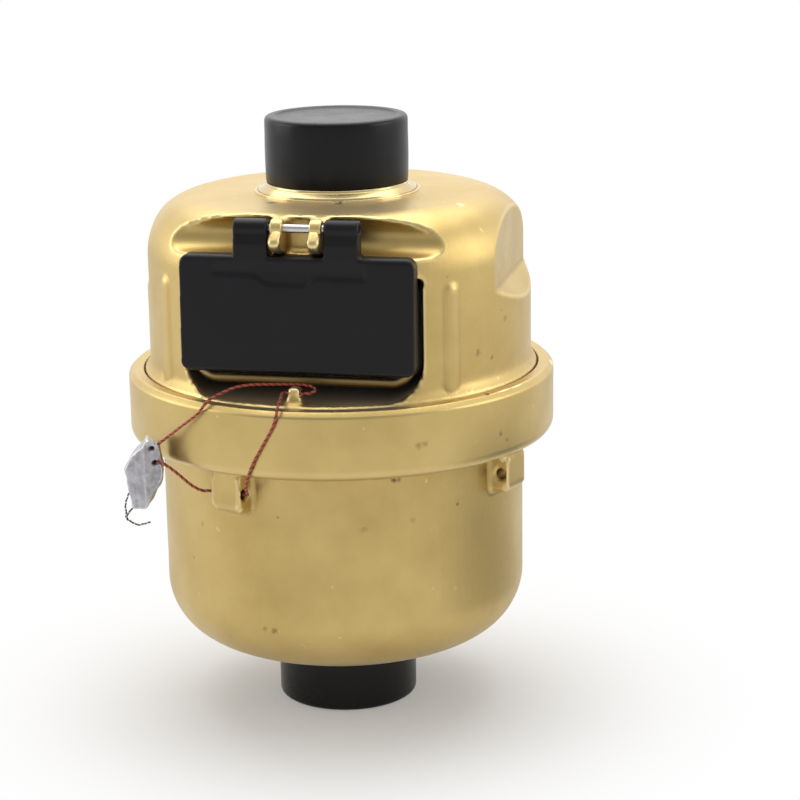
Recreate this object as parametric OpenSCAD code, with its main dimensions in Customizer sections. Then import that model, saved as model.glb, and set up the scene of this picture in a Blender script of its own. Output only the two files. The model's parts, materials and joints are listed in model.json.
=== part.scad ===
// In-line volumetric water meter with a side counter under a hinged lid.
// Millimetres. The pipe axis is Z, the lid faces -Y, and the inlet cap stands on Z = 0.

/* [Ports and caps] */
// Length of the brass body from port face to port face
body_len = 115; // [112:1:124]
// Outer radius of the G 3/4 port thread
thread_r = 13.2; // [12.6:0.1:13.6]
// Radius of the water passage in each port
port_bore_r = 7.5; // [6:0.1:9]
// Thickness of a dust cap's end
cap_end = 1.5; // [1:0.1:2.5]
// Depth of a dust cap over all
cap_len = 12.7; // [10:0.1:12.7]
// Side wall of a dust cap
cap_wall = 0.7; // [0.6:0.05:1.2]
// Bulge of a cap's side at mid height
cap_bulge = 0.12; // [0.04:0.02:0.3]
// Rounding of a cap's outer edge
cap_edge = 0.9; // [0.4:0.1:1.2]

/* [Lower body] */
// Outer radius of the pot
pot_r = 35.8; // [35:0.1:37]
// Wall of the pot
pot_wall = 3.5; // [2.5:0.1:3.8]
// Height of the pot's underside
pot_z = 14.2; // [13.6:0.1:15]
// Thickness of the pot's floor
pot_floor = 3.8; // [3:0.1:4.5]
// Rounding of the pot's lower edge
pot_corner = 12.3; // [9:0.1:13]
// Number of seal lugs
lug_count = 4; // [2:1:6]
// Direction of the first lug, from the front towards +X
lug_turn = -20; // [-30:1:30]
// Width of a lug
lug_w = 6.5; // [5:0.1:8]
// Height of a lug
lug_h = 7.5; // [6:0.1:9]
// Reach of a lug from the pot's side
lug_reach = 4.2; // [3.2:0.1:5]
// Radius of the wire hole in a lug
lug_hole_r = 1; // [0.8:0.05:1.2]

/* [Clamp ring] */
// Outer radius of the ring
ring_r = 42; // [41.6:0.1:44]
// Height of the ring
ring_h = 13.55; // [13.2:0.05:14]
// Wall of the ring outside its joint thread
ring_wall = 1.8; // [1.4:0.1:2.2]
// Width of the ring's inner lip over the flange
ring_lip = 1.2; // [0.8:0.1:1.6]
// Thickness of the lip
lip_t = 2; // [1.6:0.1:2.4]
// Bevel of the ring's upper edge
ring_bevel = 1; // [0.5:0.1:1.4]
// Rounding of the ring's lower edge
ring_round = 2.5; // [1:0.1:3]

/* [Upper body] */
// Outer radius of the dome
dome_r = 37.6; // [37.2:0.1:38.2]
// Length of the outlet above the dome
outlet_len = 13.3; // [13:0.1:15]
// Rounding of the dome's shoulder
dome_corner = 10.7; // [9.5:0.1:11.5]
// Wall of the castings round the wet side
dome_wall = 3.5; // [2.5:0.1:4]
// Thickness of the flange under the ring's lip
flange_t = 2.7; // [2.2:0.1:3]
// Half the width across the wrench flats
flat_x = 34; // [33.4:0.1:35]
// Depth of the crease under a wrench flat below the dome's top
flat_drop = 15.7; // [13:0.1:18]
// Direction of the ribs, each side of the front
rib_turn = 47; // [44:1:52]
// Radius of a rib's rounded back
rib_r = 2.9; // [2:0.1:3.2]
// How far a rib stands proud
rib_proud = 0.55; // [0.3:0.05:0.9]
// Depth of the ribs' top below the dome's top
rib_drop = 11.2; // [11:0.1:17]
// Radius of the bright collar at the foot of the outlet
collar_r = 16; // [15:0.1:17]

/* [Lid and hinge] */
// Width of the lid
lid_w = 44.4; // [42:0.1:44.6]
// Height of the lid without its ears
lid_h = 21.8; // [20:0.1:22]
// Gap under the lid, above the ring, for a fingertip
lid_rise = 5.3; // [4.8:0.1:6]
// Distance of the lid's face from the pipe axis at its foot
lid_face = 34.4; // [34:0.1:35]
// How far the lid's face leans back at the top
lid_lean = 0.9; // [0.4:0.1:1.2]
// Depth of the lid
lid_t = 3.3; // [3:0.1:3.5]
// Wall of the lid
lid_wall = 1.8; // [1.2:0.1:2]
// Rounding of the lid's corners
lid_corner = 1.8; // [0.8:0.1:3]
// Gap between the lid and the pocket's side
lid_gap = 0.6; // [0.3:0.1:0.8]
// Distance of the hinge axis from the pipe axis
hinge_y = 31.4; // [31:0.1:32]
// Depth of the hinge axis below the dome's top
hinge_drop = 2; // [1.8:0.1:2.4]
// Height of the hinge axis above the lid's top
ear_rise = 4.9; // [4.5:0.1:5.1]
// Radius of the hinge pin
pin_r = 0.8; // [0.6:0.05:1]
// Radius of an ear round the pin
ear_r = 1.75; // [1.5:0.05:1.85]
// Width of an ear
ear_w = 6.5; // [5:0.1:7]
// Half the width of the brass hinge boss
boss_x = 4.9; // [4:0.1:5.2]
// Half the width of the slot in the boss
boss_slot_x = 2.5; // [1.5:0.1:3]
// Radius of the round back of the scoop groove above the lid
scoop_r = 3.35; // [3.2:0.05:3.5]
// Distance of the scoop groove's round back from the pipe axis, at its centre
scoop_y = 28.2; // [27.6:0.1:28.6]
// Depth of the middle of the scoop groove below the dome's top
scoop_drop = 4; // [3.8:0.1:4.2]

/* [Counter pocket] */
// Height of the pocket's floor above the ring
deck_rise = 0.2; // [0.1:0.1:0.8]
// Depth of the pocket's ceiling below the lid's top
pocket_drop = 4.3; // [3.3:0.1:4.5]
// Distance of the pocket's back behind the pipe axis
pocket_back = 10.5; // [10.3:0.1:10.8]
// Rounding of the pocket's lower corners
pocket_corner = 6.5; // [5:0.1:7]
// Width of the wire post at its foot
post_w = 3.6; // [3:0.1:4.5]
// Height of the wire post
post_h = 3.1; // [2.8:0.1:3.6]

/* [Measuring chamber] */
// Distance of the chamber's bore from the pot's bore
chamber_in = 8.3; // [7.8:0.1:9.3]
// Wall of the measuring chamber
chamber_wall = 2; // [1.5:0.1:2.2]
// Height of the chamber's foot
chamber_z = 24; // [23:0.1:25]
// Outer radius of the chamber's hubs
hub_r = 14.5; // [14:0.1:15]
// Wall of the hubs
hub_wall = 1.5; // [1.2:0.1:2]
// Wall of the piston
piston_wall = 1.5; // [1.2:0.1:1.8]
// Thickness of the piston's web
web_t = 1.6; // [1.2:0.1:2]
// Radius of the piston's drive pin
crank_r = 2; // [1.6:0.1:2.2]
// Thickness of the partition plate
plate_t = 1.5; // [1:0.1:1.6]
// Radius of the chamber's water ports
kidney_r = 3.2; // [2.5:0.1:3.4]

/* [Counter] */
// Number of number rollers
roller_count = 8; // [5:1:8]
// Radius of a number roller
roller_r = 5; // [4.6:0.1:5.2]
// Spacing of the number rollers
roller_pitch = 4.25; // [4:0.05:4.3]
// Height of the counter's shafts above the can's floor
counter_rise = 9.8; // [9.3:0.1:10]
// Radius of the counter's shafts
axle_r = 0.8; // [0.6:0.05:0.9]
// Teeth of the worm wheel
wheel_teeth = 24; // [22:1:25]
// Tooth module of the worm wheel
wheel_m = 0.4; // [0.38:0.01:0.42]
// Teeth of the pinion on the cross shaft
pinion_teeth = 20; // [18:1:21]
// Teeth of the idler gear
idler_teeth = 20; // [18:1:22]
// Teeth of the gear on the first roller
gear_teeth = 31; // [28:1:31]
// Tooth module of the roller drive
gear_m = 0.3; // [0.28:0.01:0.31]

/* [Fits] */
// Running clearance round a shaft
run = 0.05; // [0.02:0.01:0.08]
// Clearance between pieces that are assembled
fit = 0.1; // [0.05:0.01:0.15]
// Room between pieces that move past each other
room = 0.3; // [0.2:0.05:0.35]

/* [Hidden] */
$fn = 64;
cut = 1;
big = 200;

// Ports
inlet_z = cap_end;
outlet_z = inlet_z + body_len;
cap_bore_r = thread_r + run;
cap_r = cap_bore_r + cap_wall;
cap_top = outlet_z + cap_end;

// Heights from the outlet down: dome, hinge, lid and ring. The pot takes up the rest of the length
dome_z = outlet_z - outlet_len;
hinge_z = dome_z - hinge_drop;
lid_top = hinge_z - ear_rise;
lid_z = lid_top - lid_h;
ring_top = lid_z - lid_rise;
ring_z = ring_top - ring_h;
deck_z = ring_top + deck_rise;
pocket_top = lid_top - pocket_drop;
scoop_z = dome_z - scoop_drop;
flat_z = dome_z - flat_drop;
rib_z = dome_z - rib_drop;

// Joint between the two bodies
pot_bore_r = pot_r - pot_wall;
pot_floor_z = pot_z + pot_floor;
joint_r = ring_r - ring_wall;
lip_z = ring_top - lip_t;
flange_z = lip_z - flange_t;
ring_bore_r = joint_r + fit;
lip_r = joint_r - ring_lip;
neck_r = lip_r - room;
rim_step = 0.6;
rim_z = ring_z + rim_step;
lug_r = pot_r + lug_reach;
lug_top = ring_z - room;
lug_round = 2;
lug_hole_in = 1.9;
cove_h = 2.3;
cove_turn = 50;
cove_steps = 5;
spigot_r = pot_bore_r - fit;
spigot_wall = 3.6;
spigot_bore_r = spigot_r - spigot_wall;
spigot_h = 7.5;
spigot_z = flange_z - spigot_h;
seal_r = 1.15;
seal_drop = 3.4;
seal_z = flange_z - seal_drop;

// Lid and pocket
lid_edge = 1.1;
lid_foot_bevel = 0.5;
pocket_x = lid_w / 2 + lid_gap;
pocket_top_corner = 0.5;
ear_x0 = boss_x + room + fit;
ear_x1 = ear_x0 + ear_w;
ear_front_h = 2.2;
ear_sweep_r = ear_r + room;
pin_in = 0.4;
pin_x = ear_x1 - pin_in;
boss_r = hinge_z - lid_top - room - fit;
boss_slot_d = 3;
post_in = 2.7;
post_y = neck_r - post_in;
post_t = 2.4;
post_hole_r = 0.65;
post_hole_rise = 1.9;
post_hole_z = deck_z + post_hole_rise;

// Wet side of the upper body
pocket_wall = 2.5;
flat_wall = 3;
wet_x = flat_x - flat_wall;
wet_front = 14;
wet_r = dome_r - dome_wall;
wet_top = dome_z - dome_wall;

// Bright collar at the outlet's foot, on a low land
collar_root = 0.3;
collar_z = dome_z - collar_root;
collar_top = cap_top - cap_len - fit;
land_w = 1;
land_r = collar_r + land_w;
land_h = 0.15;

// Measuring chamber
chamber_r = pot_bore_r - chamber_in;
piston_gap = 0.15;
chamber_floor = 2.5;
chamber_floor_z = chamber_z + chamber_floor;
cover_t = 2.5;
cover_drop = 1;
cover_z = spigot_z - cover_drop;
cover_top = cover_z + cover_t;
cover_r = spigot_bore_r - 2 * fit;
chamber_mid = (chamber_floor_z + cover_z) / 2;
plate_seat = 0.8;
throw = (chamber_r - hub_r - piston_wall) / 2 - piston_gap;
piston_r = chamber_r - throw - piston_gap;
slot_gap = 0.4;
slot_x = plate_t / 2 + throw + slot_gap;
web_in = 0.2;
crank_collar = 1.5;
crank_collar_h = 1;
plate_y0 = hub_r - plate_seat;
plate_y1 = chamber_r + plate_seat;
port_turn = 20;
port_ring_r = (hub_r + chamber_r) / 2;
tube_wall = 1.2;
tube_r = kidney_r + tube_wall;
tube_seal_r = 1.3;
shoulder_r = tube_r + 2 * tube_seal_r + room;
shoulder_z = flange_z - 2 * tube_seal_r - fit;
cup_r = 11.6;
cup_wall = 2.4;
hatch_gap = 1.1;
hatch_r = throw + crank_r + hatch_gap;
strainer_gap = 0.5;
strainer_wall = 1.4;
strainer_rim = 1.2;
strainer_slot = 2;
strainer_slots = 16;

// Magnetic drive
well_wall = 2.5;
well_z = deck_z - well_wall;
carrier_z = cover_top + room;
carrier_t = 2.4;
carrier_gap = 0.6;
carrier_r = cup_r - carrier_gap;
carrier_hub_r = 3.2;
pivot_r = 1.5;
pivot_h = 1.1;
pivot_top = well_z + pivot_h;
magnet_r = 10;
magnet_z = carrier_z + carrier_t;
magnet_gap = 0.8;
magnet_top = well_z - magnet_gap;

// Counter in its can
can_rise = 1.8;
can_z = deck_z + can_rise;
can_foot_r = 8;
can_wall = 1;
can_gap = 1.2;
can_x = pocket_x - can_gap;
can_head = 0.8;
can_top = pocket_top - can_head;
can_tail = 0.5;
can_back = pocket_back - can_tail;
can_corner = 5;
can_top_corner = 2;
can_lip = 0.9;
can_floor_z = can_z + can_wall;
counter_z = can_floor_z + counter_rise;
worm_r = 2;
cross_y = worm_r + wheel_teeth * wheel_m / 2;
wheel_r = wheel_teeth * wheel_m / 2;
wheel_t = 2;
pinion_r = pinion_teeth * gear_m / 2;
idler_r = idler_teeth * gear_m / 2;
gear_r = gear_teeth * gear_m / 2;
shaft_gap = wheel_r + wheel_m + roller_r + room;
roller_y = cross_y + shaft_gap;
idler_reach = pinion_r + idler_r;
idler_turn = acos(
  (pow(shaft_gap, 2) + pow(idler_reach, 2) - pow(gear_r + idler_r, 2)) / (2 * shaft_gap * idler_reach)
);
idler_at = [0, -cross_y - idler_reach * cos(idler_turn), counter_z - idler_reach * sin(idler_turn)];
pinion_first = 180;
idler_first = mesh_first(pinion_first, pinion_teeth, idler_teeth, 180 + idler_turn);
idler_to_gear = atan2(counter_z - idler_at.z, -roller_y - idler_at.y);
gear_first = mesh_first(idler_first, idler_teeth, gear_teeth, idler_to_gear);
row_x = roller_count * roller_pitch / 2;
drum_w = 3.1;
ring_gear_w = 0.9;
ring_gear_teeth = 20;
ring_gear_m = 0.4;
gear_w = 1.4;
hub_in = 1.5;
frame_t = 1;
frame_gap = 0.8;
frame_x = row_x + gear_w + frame_gap;
frame_back = 5;
shelf_rise = 4.4;
shelf_z = can_floor_z + shelf_rise;
shelf_front = 2.6;
bridge_front = 4;
dial_gap = 0.45;
frame_front = roller_y + roller_r + dial_gap;
dial_t = 0.8;
dial_slot_h = 3.8;
window_t = 1.8;
window_gap = 3.25;
window_y = frame_front + dial_t + window_gap;
can_front = window_y + window_t + can_wall;
spindle_r = 1;
spindle_gap = 0.7;
spindle_top = can_top - can_wall - spindle_gap;
follower_r = 6;
follower_gap = 0.4;
follower_z = can_floor_z + follower_gap;
follower_h = 2.3;
leg_gap = 3;
leg_x = follower_r + leg_gap;
leg_w = 4;
worm_pitch = PI * wheel_m;
worm_turns = 5;
worm_off = 0.4;
worm_root = 1.85;

// Seal wire, from the lead seal over the ring, round the post, and down through the lug
wire_r = 0.375;
wire_route = [
  [-28.2, -35.2, 59.4], [-26.8, -36.2, 60.5], [-25.0, -36.9, 61.9], [-21.4, -37.9, 64.7],
  [-18.0, -38.8, 67.4], [-16.8, -38.8, 68.9], [-15.8, -38.1, 70.0], [-14.2, -37.3, 70.9],
  [-11.6, -36.4, 72.0], [-8.8, -35.3, 72.4], [-5.6, -34.4, 72.4], [-2.6, -33.8, 72.4],
  [0.4, -33.6, 72.4], [2.6, -33.8, 72.2], [3.6, -34.8, 71.8], [2.9, -35.8, 71.4],
  [1.2, -36.0, 71.3], [-1.2, -36.0, 71.3], [-2.1, -36.8, 71.5], [-1.9, -38.4, 71.5],
  [-1.7, -40.2, 71.0], [-1.7, -41.7, 70.3], [-1.9, -42.6, 68.6], [-2.6, -42.5, 66.5],
  [-4.4, -42.3, 63.3], [-6.3, -42.1, 60.0], [-7.4, -41.9, 57.6], [-8.2, -41.2, 55.6],
  [-8.7, -40.2, 53.9], [-9.0, -38.8, 52.5], [-9.4, -37.4, 51.8], [-10.4, -36.8, 51.6],
  [-13.0, -35.8, 51.6], [-15.8, -34.8, 51.6], [-17.2, -34.5, 51.4], [-19.0, -34.7, 51.4],
  [-20.8, -35.5, 52.6], [-22.8, -36.5, 54.8], [-24.6, -37.0, 56.4], [-26.2, -36.9, 57.1],
  [-28.0, -35.6, 56.4]
];
wire_sides = 8;

// Lead seal crushed round the wire's two ends, square to its own turn
seal_at = [-29.1, -35.1, 54.4];
seal_turn = 14;
seal_t = 3.4;
seal_edge_t = 1.6;

// Shared shapes

// Half section of a round pot with a rounded lower corner
module pot_section(r, z0, z1, corner) {
  translate([0, z0]) square([r - corner, z1 - z0]);
  translate([0, z0 + corner]) square([r, z1 - z0 - corner]);
  translate([r - corner, z0 + corner]) circle(corner);
}

// Half section of a dome with a rounded upper corner
module dome_section(r, z0, z1, corner) {
  translate([0, z0]) square([r - corner, z1 - z0]);
  translate([0, z0]) square([r, z1 - z0 - corner]);
  translate([r - corner, z1 - corner]) circle(corner);
}

// Upright cylinder or tube between two heights
module tube(r, z0, z1, bore = 0) {
  translate([0, 0, z0])
    difference() {
      cylinder(r = r, h = z1 - z0);
      if (bore > 0) translate([0, 0, -cut]) cylinder(r = bore, h = z1 - z0 + 2 * cut);
    }
}

// Box between two corners
module block(a, b) {
  translate(a) cube(b - a);
}

// Rod along X between two places
module rod_x(r, x0, x1) {
  translate([x0, 0, 0]) rotate([0, 90, 0]) cylinder(r = r, h = x1 - x0);
}

// Drawing in Y and Z pushed along X from x0 to x1
module along_x(x0, x1) {
  translate([x0, 0, 0]) rotate([90, 0, 90]) linear_extrude(x1 - x0) children();
}

// Drawing in X and Z pushed along Y from y0 to y1
module along_y(y0, y1) {
  translate([0, y1, 0]) rotate([90, 0, 0]) linear_extrude(y1 - y0) children();
}

// Outline between two heights with round lower and upper corners
module panel_outline(x, z0, z1, low, high) {
  translate([low - x, z0]) square([2 * (x - low), z1 - z0]);
  translate([-x, z0 + low]) square([2 * x, z1 - z0 - low - high]);
  translate([high - x, z0 + low]) square([2 * (x - high), z1 - z0 - low]);
  for (side = [-1, 1]) {
    translate([side * (x - low), z0 + low]) circle(low);
    translate([side * (x - high), z1 - high]) circle(high);
  }
}

function polar(r, a) = [r * cos(a), r * sin(a)];

// Points of a gear with straight-sided teeth, its first tooth at the given angle
function gear_points(teeth, m, first) = [
  for (i = [0 : teeth - 1])
    let (r = teeth * m / 2, a = first + i * 360 / teeth, w = 360 / teeth)
    each [
      polar(r - 1.1 * m, a - 0.3 * w), polar(r + 0.75 * m, a - 0.1 * w),
      polar(r + 0.75 * m, a + 0.1 * w), polar(r - 1.1 * m, a + 0.3 * w)
    ]
];

// Angle of a gear's first tooth that meshes with a gear whose first tooth is at first_a, seen in direction dir
function mesh_first(first_a, teeth_a, teeth_b, dir) =
  dir + 180 - (first_a - dir) * teeth_a / teeth_b + 180 / teeth_b;

module gear_x(teeth, m, first, x0, x1) {
  along_x(x0, x1) polygon(gear_points(teeth, m, first));
}

// Cast bodies and ring

// Seal lug that points along X, with a round lower edge and a hole for the wire
module lug() {
  root = pot_r - pot_wall / 2;
  low = lug_top - lug_h;
  along_y(-lug_w / 2, lug_w / 2)
    difference() {
      union() {
        translate([root, low]) square([lug_r - lug_round - root, lug_h]);
        translate([root, low + lug_round]) square([lug_r - root, lug_h - lug_round]);
        translate([lug_r - lug_round, low + lug_round]) circle(lug_round);
      }
      translate([lug_r - lug_hole_in, lug_top - lug_h / 2]) circle(lug_hole_r);
    }
}

module lower_body() {
  color("#c9a95f")
    difference() {
      union() {
        rotate_extrude() pot_section(pot_r, pot_z, flange_z, pot_corner);
        tube(joint_r, rim_z, flange_z);
        tube(thread_r, inlet_z, pot_z + cut);
        for (i = [0 : lug_count - 1])
          rotate(lug_turn - 90 + i * 360 / lug_count) lug();
      }
      rotate_extrude() pot_section(pot_bore_r, pot_floor_z, flange_z + cut, pot_corner - pot_wall);
      tube(port_bore_r, inlet_z - cut, pot_floor_z + cut);
    }
}

// Half section of the upper body's outside: dome, flange, and a neck that flares in a cove
module upper_section() {
  flare = (neck_r - dome_r) / (1 - cos(cove_turn));
  rise = cove_h / sin(cove_turn);
  dome_section(dome_r, deck_z + cove_h - cut / 2, dome_z, dome_corner);
  translate([0, flange_z]) square([joint_r, flange_t]);
  polygon(concat(
    [[0, deck_z + cove_h], [0, flange_z], [neck_r, flange_z]],
    [
      for (i = [cove_steps : -1 : 0])
        let (a = cove_turn * i / cove_steps)
        [dome_r + flare * (1 - cos(a)), deck_z + cove_h - rise * sin(a)]
    ]
  ));
}

// Outer form of the upper body, with its outlet, spigot and ribs
module upper_form() {
  rotate_extrude() upper_section();
  translate([0, 0, collar_z]) cylinder(r1 = collar_r, r2 = cap_r, h = collar_top - collar_z);
  tube(land_r, dome_z - cut, dome_z + land_h);
  tube(thread_r, dome_z, outlet_z);
  tube(spigot_r, spigot_z, flange_z + cut);
  for (side = [-1, 1])
    rotate(side * rib_turn)
      translate([0, rib_r - dome_r - rib_proud, 0]) {
        tube(rib_r, lip_z, rib_z - rib_r);
        translate([0, 0, rib_z - rib_r]) sphere(rib_r);
      }
}

// Scoop groove straight across the dome, round at its back, with the hinge boss left standing in it
module scoop_cut() {
  difference() {
    union() {
      along_x(-big / 2, big / 2)
        union() {
          translate([-scoop_y, scoop_z]) circle(scoop_r);
          translate([-big / 2, scoop_z - scoop_r]) square([big / 2 - scoop_y, 2 * scoop_r]);
        }
      translate([0, -hinge_y, hinge_z]) rod_x(ear_sweep_r, -ear_x1 - room, ear_x1 + room);
    }
    translate([0, -hinge_y, hinge_z]) rod_x(boss_r, -boss_x, boss_x);
    block([-boss_x, -hinge_y, scoop_z - 2 * scoop_r], [boss_x, 0, dome_z]);
  }
  block([-boss_slot_x, -big / 2, lid_top + fit], [boss_slot_x, boss_slot_d - hinge_y, hinge_z + ear_r]);
}

// Room for the lid, open upwards into the scoop groove
module lid_recess() {
  along_y(-big / 2, -lid_face + lid_lean + lid_t)
    panel_outline(pocket_x, deck_z, lid_top + fit, pocket_corner, pocket_top_corner);
}

// Pocket for the counter, between the wet channels
module pocket_cut() {
  along_y(-big / 2, pocket_back)
    panel_outline(pocket_x, deck_z, pocket_top, pocket_corner, pocket_top_corner);
}

// Wet channel behind and above the pocket, up to the outlet
module wet_cut() {
  difference() {
    intersection() {
      rotate_extrude() dome_section(wet_r, deck_z, wet_top, dome_corner - dome_wall);
      block([-wet_x, -wet_front, deck_z], [wet_x, big, wet_top]);
    }
    block(
      [-pocket_x - pocket_wall, -big, deck_z - cut],
      [pocket_x + pocket_wall, pocket_back + pocket_wall, pocket_top + pocket_wall]
    );
  }
  tube(port_bore_r, pocket_top + pocket_wall, outlet_z + cut);
}

// Place of the chamber's outlet, and of its inlet on the other side of the plate
module at_port(side) {
  rotate(90 - side * port_turn) translate([port_ring_r, 0, 0]) children();
}

module wire_post() {
  difference() {
    along_y(-post_y - post_t / 2, -post_y + post_t / 2)
      polygon([
        [-post_w / 2, deck_z - cut], [post_w / 2, deck_z - cut],
        [post_w / 3, deck_z + post_h], [-post_w / 3, deck_z + post_h]
      ]);
    translate([0, -post_y, post_hole_z]) rod_x(post_hole_r, -post_w, post_w);
  }
}

module upper_body() {
  color("#cbab61") {
    difference() {
      upper_form();
      for (side = [0, 1])
        mirror([side, 0, 0])
          along_y(-big, big)
            polygon([
              [flat_x, big], [flat_x, flat_z], [flat_x + flat_z, 0], [big, 0], [big, big]
            ]);
      scoop_cut();
      lid_recess();
      pocket_cut();
      wet_cut();
      tube(spigot_bore_r, spigot_z - cut, flange_z);
      tube(cup_r, flange_z - cut, well_z);
      tube(pivot_r + run, well_z - cut, pivot_top + room);
      at_port(1) tube(tube_r + fit, flange_z - cut, deck_z + cut);
      translate([0, -hinge_y, hinge_z]) rod_x(pin_r + run, -boss_x - cut, boss_x + cut);
      rotate_extrude()
        translate([pot_bore_r - 2 * (seal_r + run), seal_z - seal_r - fit])
          square([4 * seal_r, 2 * (seal_r + fit)]);
    }
    tube(can_foot_r, deck_z - cut, can_z);
    wire_post();
  }
}

module clamp_ring() {
  color("#c9a95f")
    rotate_extrude()
      difference() {
        union() {
          translate([lip_r, ring_z + ring_round]) square([ring_r - lip_r, ring_h - ring_round - ring_bevel]);
          translate([lip_r, ring_z]) square([ring_r - lip_r - ring_round, ring_round + cut]);
          translate([ring_r - ring_round, ring_z + ring_round]) circle(ring_round);
          polygon([
            [lip_r, ring_top - ring_bevel - cut], [ring_r, ring_top - ring_bevel - cut],
            [ring_r, ring_top - ring_bevel], [ring_r - ring_bevel, ring_top], [lip_r, ring_top]
          ]);
        }
        translate([0, ring_z - cut]) square([ring_bore_r, ring_h - lip_t + cut]);
      }
}

// Caps, lid and hinge

// Dust cap with a slightly barrelled side, its closed end up and its top at Z = 0
module dust_cap() {
  side_r = pow(cap_len, 2) / (8 * cap_bulge) + cap_bulge / 2;
  dish = 0.3;
  dish_r = cap_bore_r - 2 * cap_edge;
  color("#2b2b2f")
    difference() {
      rotate_extrude()
        intersection() {
          union() {
            translate([0, -cap_len]) square([cap_r, cap_len - cap_edge]);
            translate([0, -cap_len]) square([cap_r - cap_edge, cap_len]);
            translate([cap_r - cap_edge, -cap_edge]) circle(cap_edge);
          }
          translate([cap_r - side_r, -cap_len / 2]) circle(side_r, $fn = 360);
        }
      tube(cap_bore_r, -cap_len - cut, -cap_end);
      translate([0, 0, -dish]) cylinder(r1 = dish_r, r2 = dish_r + 2 * dish, h = 2 * dish);
    }
}

module top_cap() {
  translate([0, 0, cap_top]) dust_cap();
}

module bottom_cap() {
  mirror([0, 0, 1]) dust_cap();
}

// Ear outline in Y and Z: a front face, a slope and a round eye at the pin
module ear_outline() {
  front = -lid_face + lid_lean;
  back = front + lid_t - fit;
  root = lid_top - 2 * lid_edge;
  slope = [-hinge_y, hinge_z] + ear_r * [-0.6, 0.8];
  difference() {
    union() {
      polygon([
        [front, root], [front, lid_top + ear_front_h], slope, [-hinge_y, slope.y],
        [ear_r - hinge_y, hinge_z], [back, lid_top], [back, root]
      ]);
      translate([-hinge_y, hinge_z]) circle(ear_r);
    }
    translate([-hinge_y, hinge_z]) circle(pin_r + run);
  }
}

module lid() {
  foot = -lid_face;
  top = -lid_face + lid_lean;
  back = top + lid_t - fit;
  inner_corner = lid_corner / 2;
  color("#2a2a2f") {
    difference() {
      intersection() {
        along_y(-big / 2, 0) panel_outline(lid_w / 2, lid_z, lid_top, lid_corner, lid_corner);
        along_x(-lid_w / 2, lid_w / 2)
          union() {
            polygon([
              [foot + lid_foot_bevel, lid_z], [foot, lid_z + lid_foot_bevel], [top, lid_top - lid_edge],
              [top + lid_edge, lid_top - lid_edge], [back, lid_top], [back, lid_z]
            ]);
            translate([top + lid_edge, lid_top - lid_edge]) circle(lid_edge);
            translate([top + lid_edge, lid_top - 2 * lid_edge]) square([back - top - lid_edge, 2 * lid_edge]);
          }
      }
      along_y(top + lid_wall, 0)
        panel_outline(
          lid_w / 2 - lid_wall, lid_z + lid_wall, lid_top - lid_wall, inner_corner, inner_corner
        );
    }
    for (side = [0, 1])
      mirror([side, 0, 0]) along_x(ear_x0, ear_x1) ear_outline();
  }
}

module hinge_pin() {
  color("#c8c8cc")
    translate([0, -hinge_y, hinge_z]) rod_x(pin_r, -pin_x, pin_x);
}

// Wire seal

// Crushed lead, thick where it holds the wire and beaten thin below
module lead_seal() {
  color("#8e9095")
    translate(seal_at)
      rotate(seal_turn)
        hull() {
          along_y(-seal_t / 2, seal_t / 2)
            polygon([[-0.2, 7], [2, 6.4], [2.5, 3.4], [2.7, 0], [-4.4, 1.2], [-3.3, 3.5]]);
          along_y(-seal_edge_t / 2, seal_edge_t / 2)
            polygon([[2.3, -1.6], [0.6, -4.9], [-0.8, -6.6], [-3.4, -6.8], [-4.6, 1.2]]);
        }
}

function unit(v) = v / norm(v);

// Direction of the wire's route at point i
function heading(p, i) = unit(p[min(i + 1, len(p) - 1)] - p[max(i - 1, 0)]);

// Ring of points round the route at point i, square to its heading
function wire_ring(p, i) =
  let (
    d = heading(p, i),
    side = unit(cross(d, abs(d.z) < 0.8 ? [0, 0, 1] : [0, 1, 0])),
    up = cross(side, d)
  )
  [for (k = [0 : wire_sides - 1]) p[i] + wire_r * (side * cos(k * 360 / wire_sides) + up * sin(k * 360 / wire_sides))];

module seal_wire() {
  rings = len(wire_route);
  color("#a8382c")
    polyhedron(
      points = [for (i = [0 : rings - 1]) each wire_ring(wire_route, i)],
      faces = concat(
        [[for (k = [wire_sides - 1 : -1 : 0]) k]],
        [
          for (i = [0 : rings - 2], k = [0 : wire_sides - 1])
            let (a = i * wire_sides + k, b = i * wire_sides + (k + 1) % wire_sides)
            [a, b, b + wire_sides, a + wire_sides]
        ],
        [[for (k = [0 : wire_sides - 1]) (rings - 1) * wire_sides + k]]
      )
    );
}

// Wet inside

module body_seal() {
  color("#222222")
    rotate_extrude() translate([pot_bore_r - seal_r - run, seal_z]) circle(seal_r);
}

module strainer() {
  r = pot_bore_r - pot_corner + pot_wall - strainer_gap;
  low = pot_floor_z + strainer_rim;
  high = chamber_z - strainer_rim;
  color("#e6e6e0")
    difference() {
      tube(r, pot_floor_z, chamber_z, r - strainer_wall);
      for (i = [0 : strainer_slots - 1])
        rotate(i * 360 / strainer_slots)
          block([r - strainer_wall - cut, -strainer_slot / 2, low], [r + cut, strainer_slot / 2, high]);
    }
}

module chamber_body() {
  color("#d9d4c4")
    difference() {
      union() {
        tube(chamber_r + chamber_wall, chamber_z, cover_z, chamber_r);
        tube(chamber_r + cut, chamber_z, chamber_floor_z);
        tube(hub_r, chamber_z, chamber_mid - web_t / 2 - room, hub_r - hub_wall);
      }
      at_port(-1) tube(kidney_r, chamber_z - cut, chamber_floor_z + cut);
      block([-plate_t / 2 - run, plate_y0 - run, chamber_floor_z], [plate_t / 2 + run, plate_y1 + run, big]);
    }
}

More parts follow.
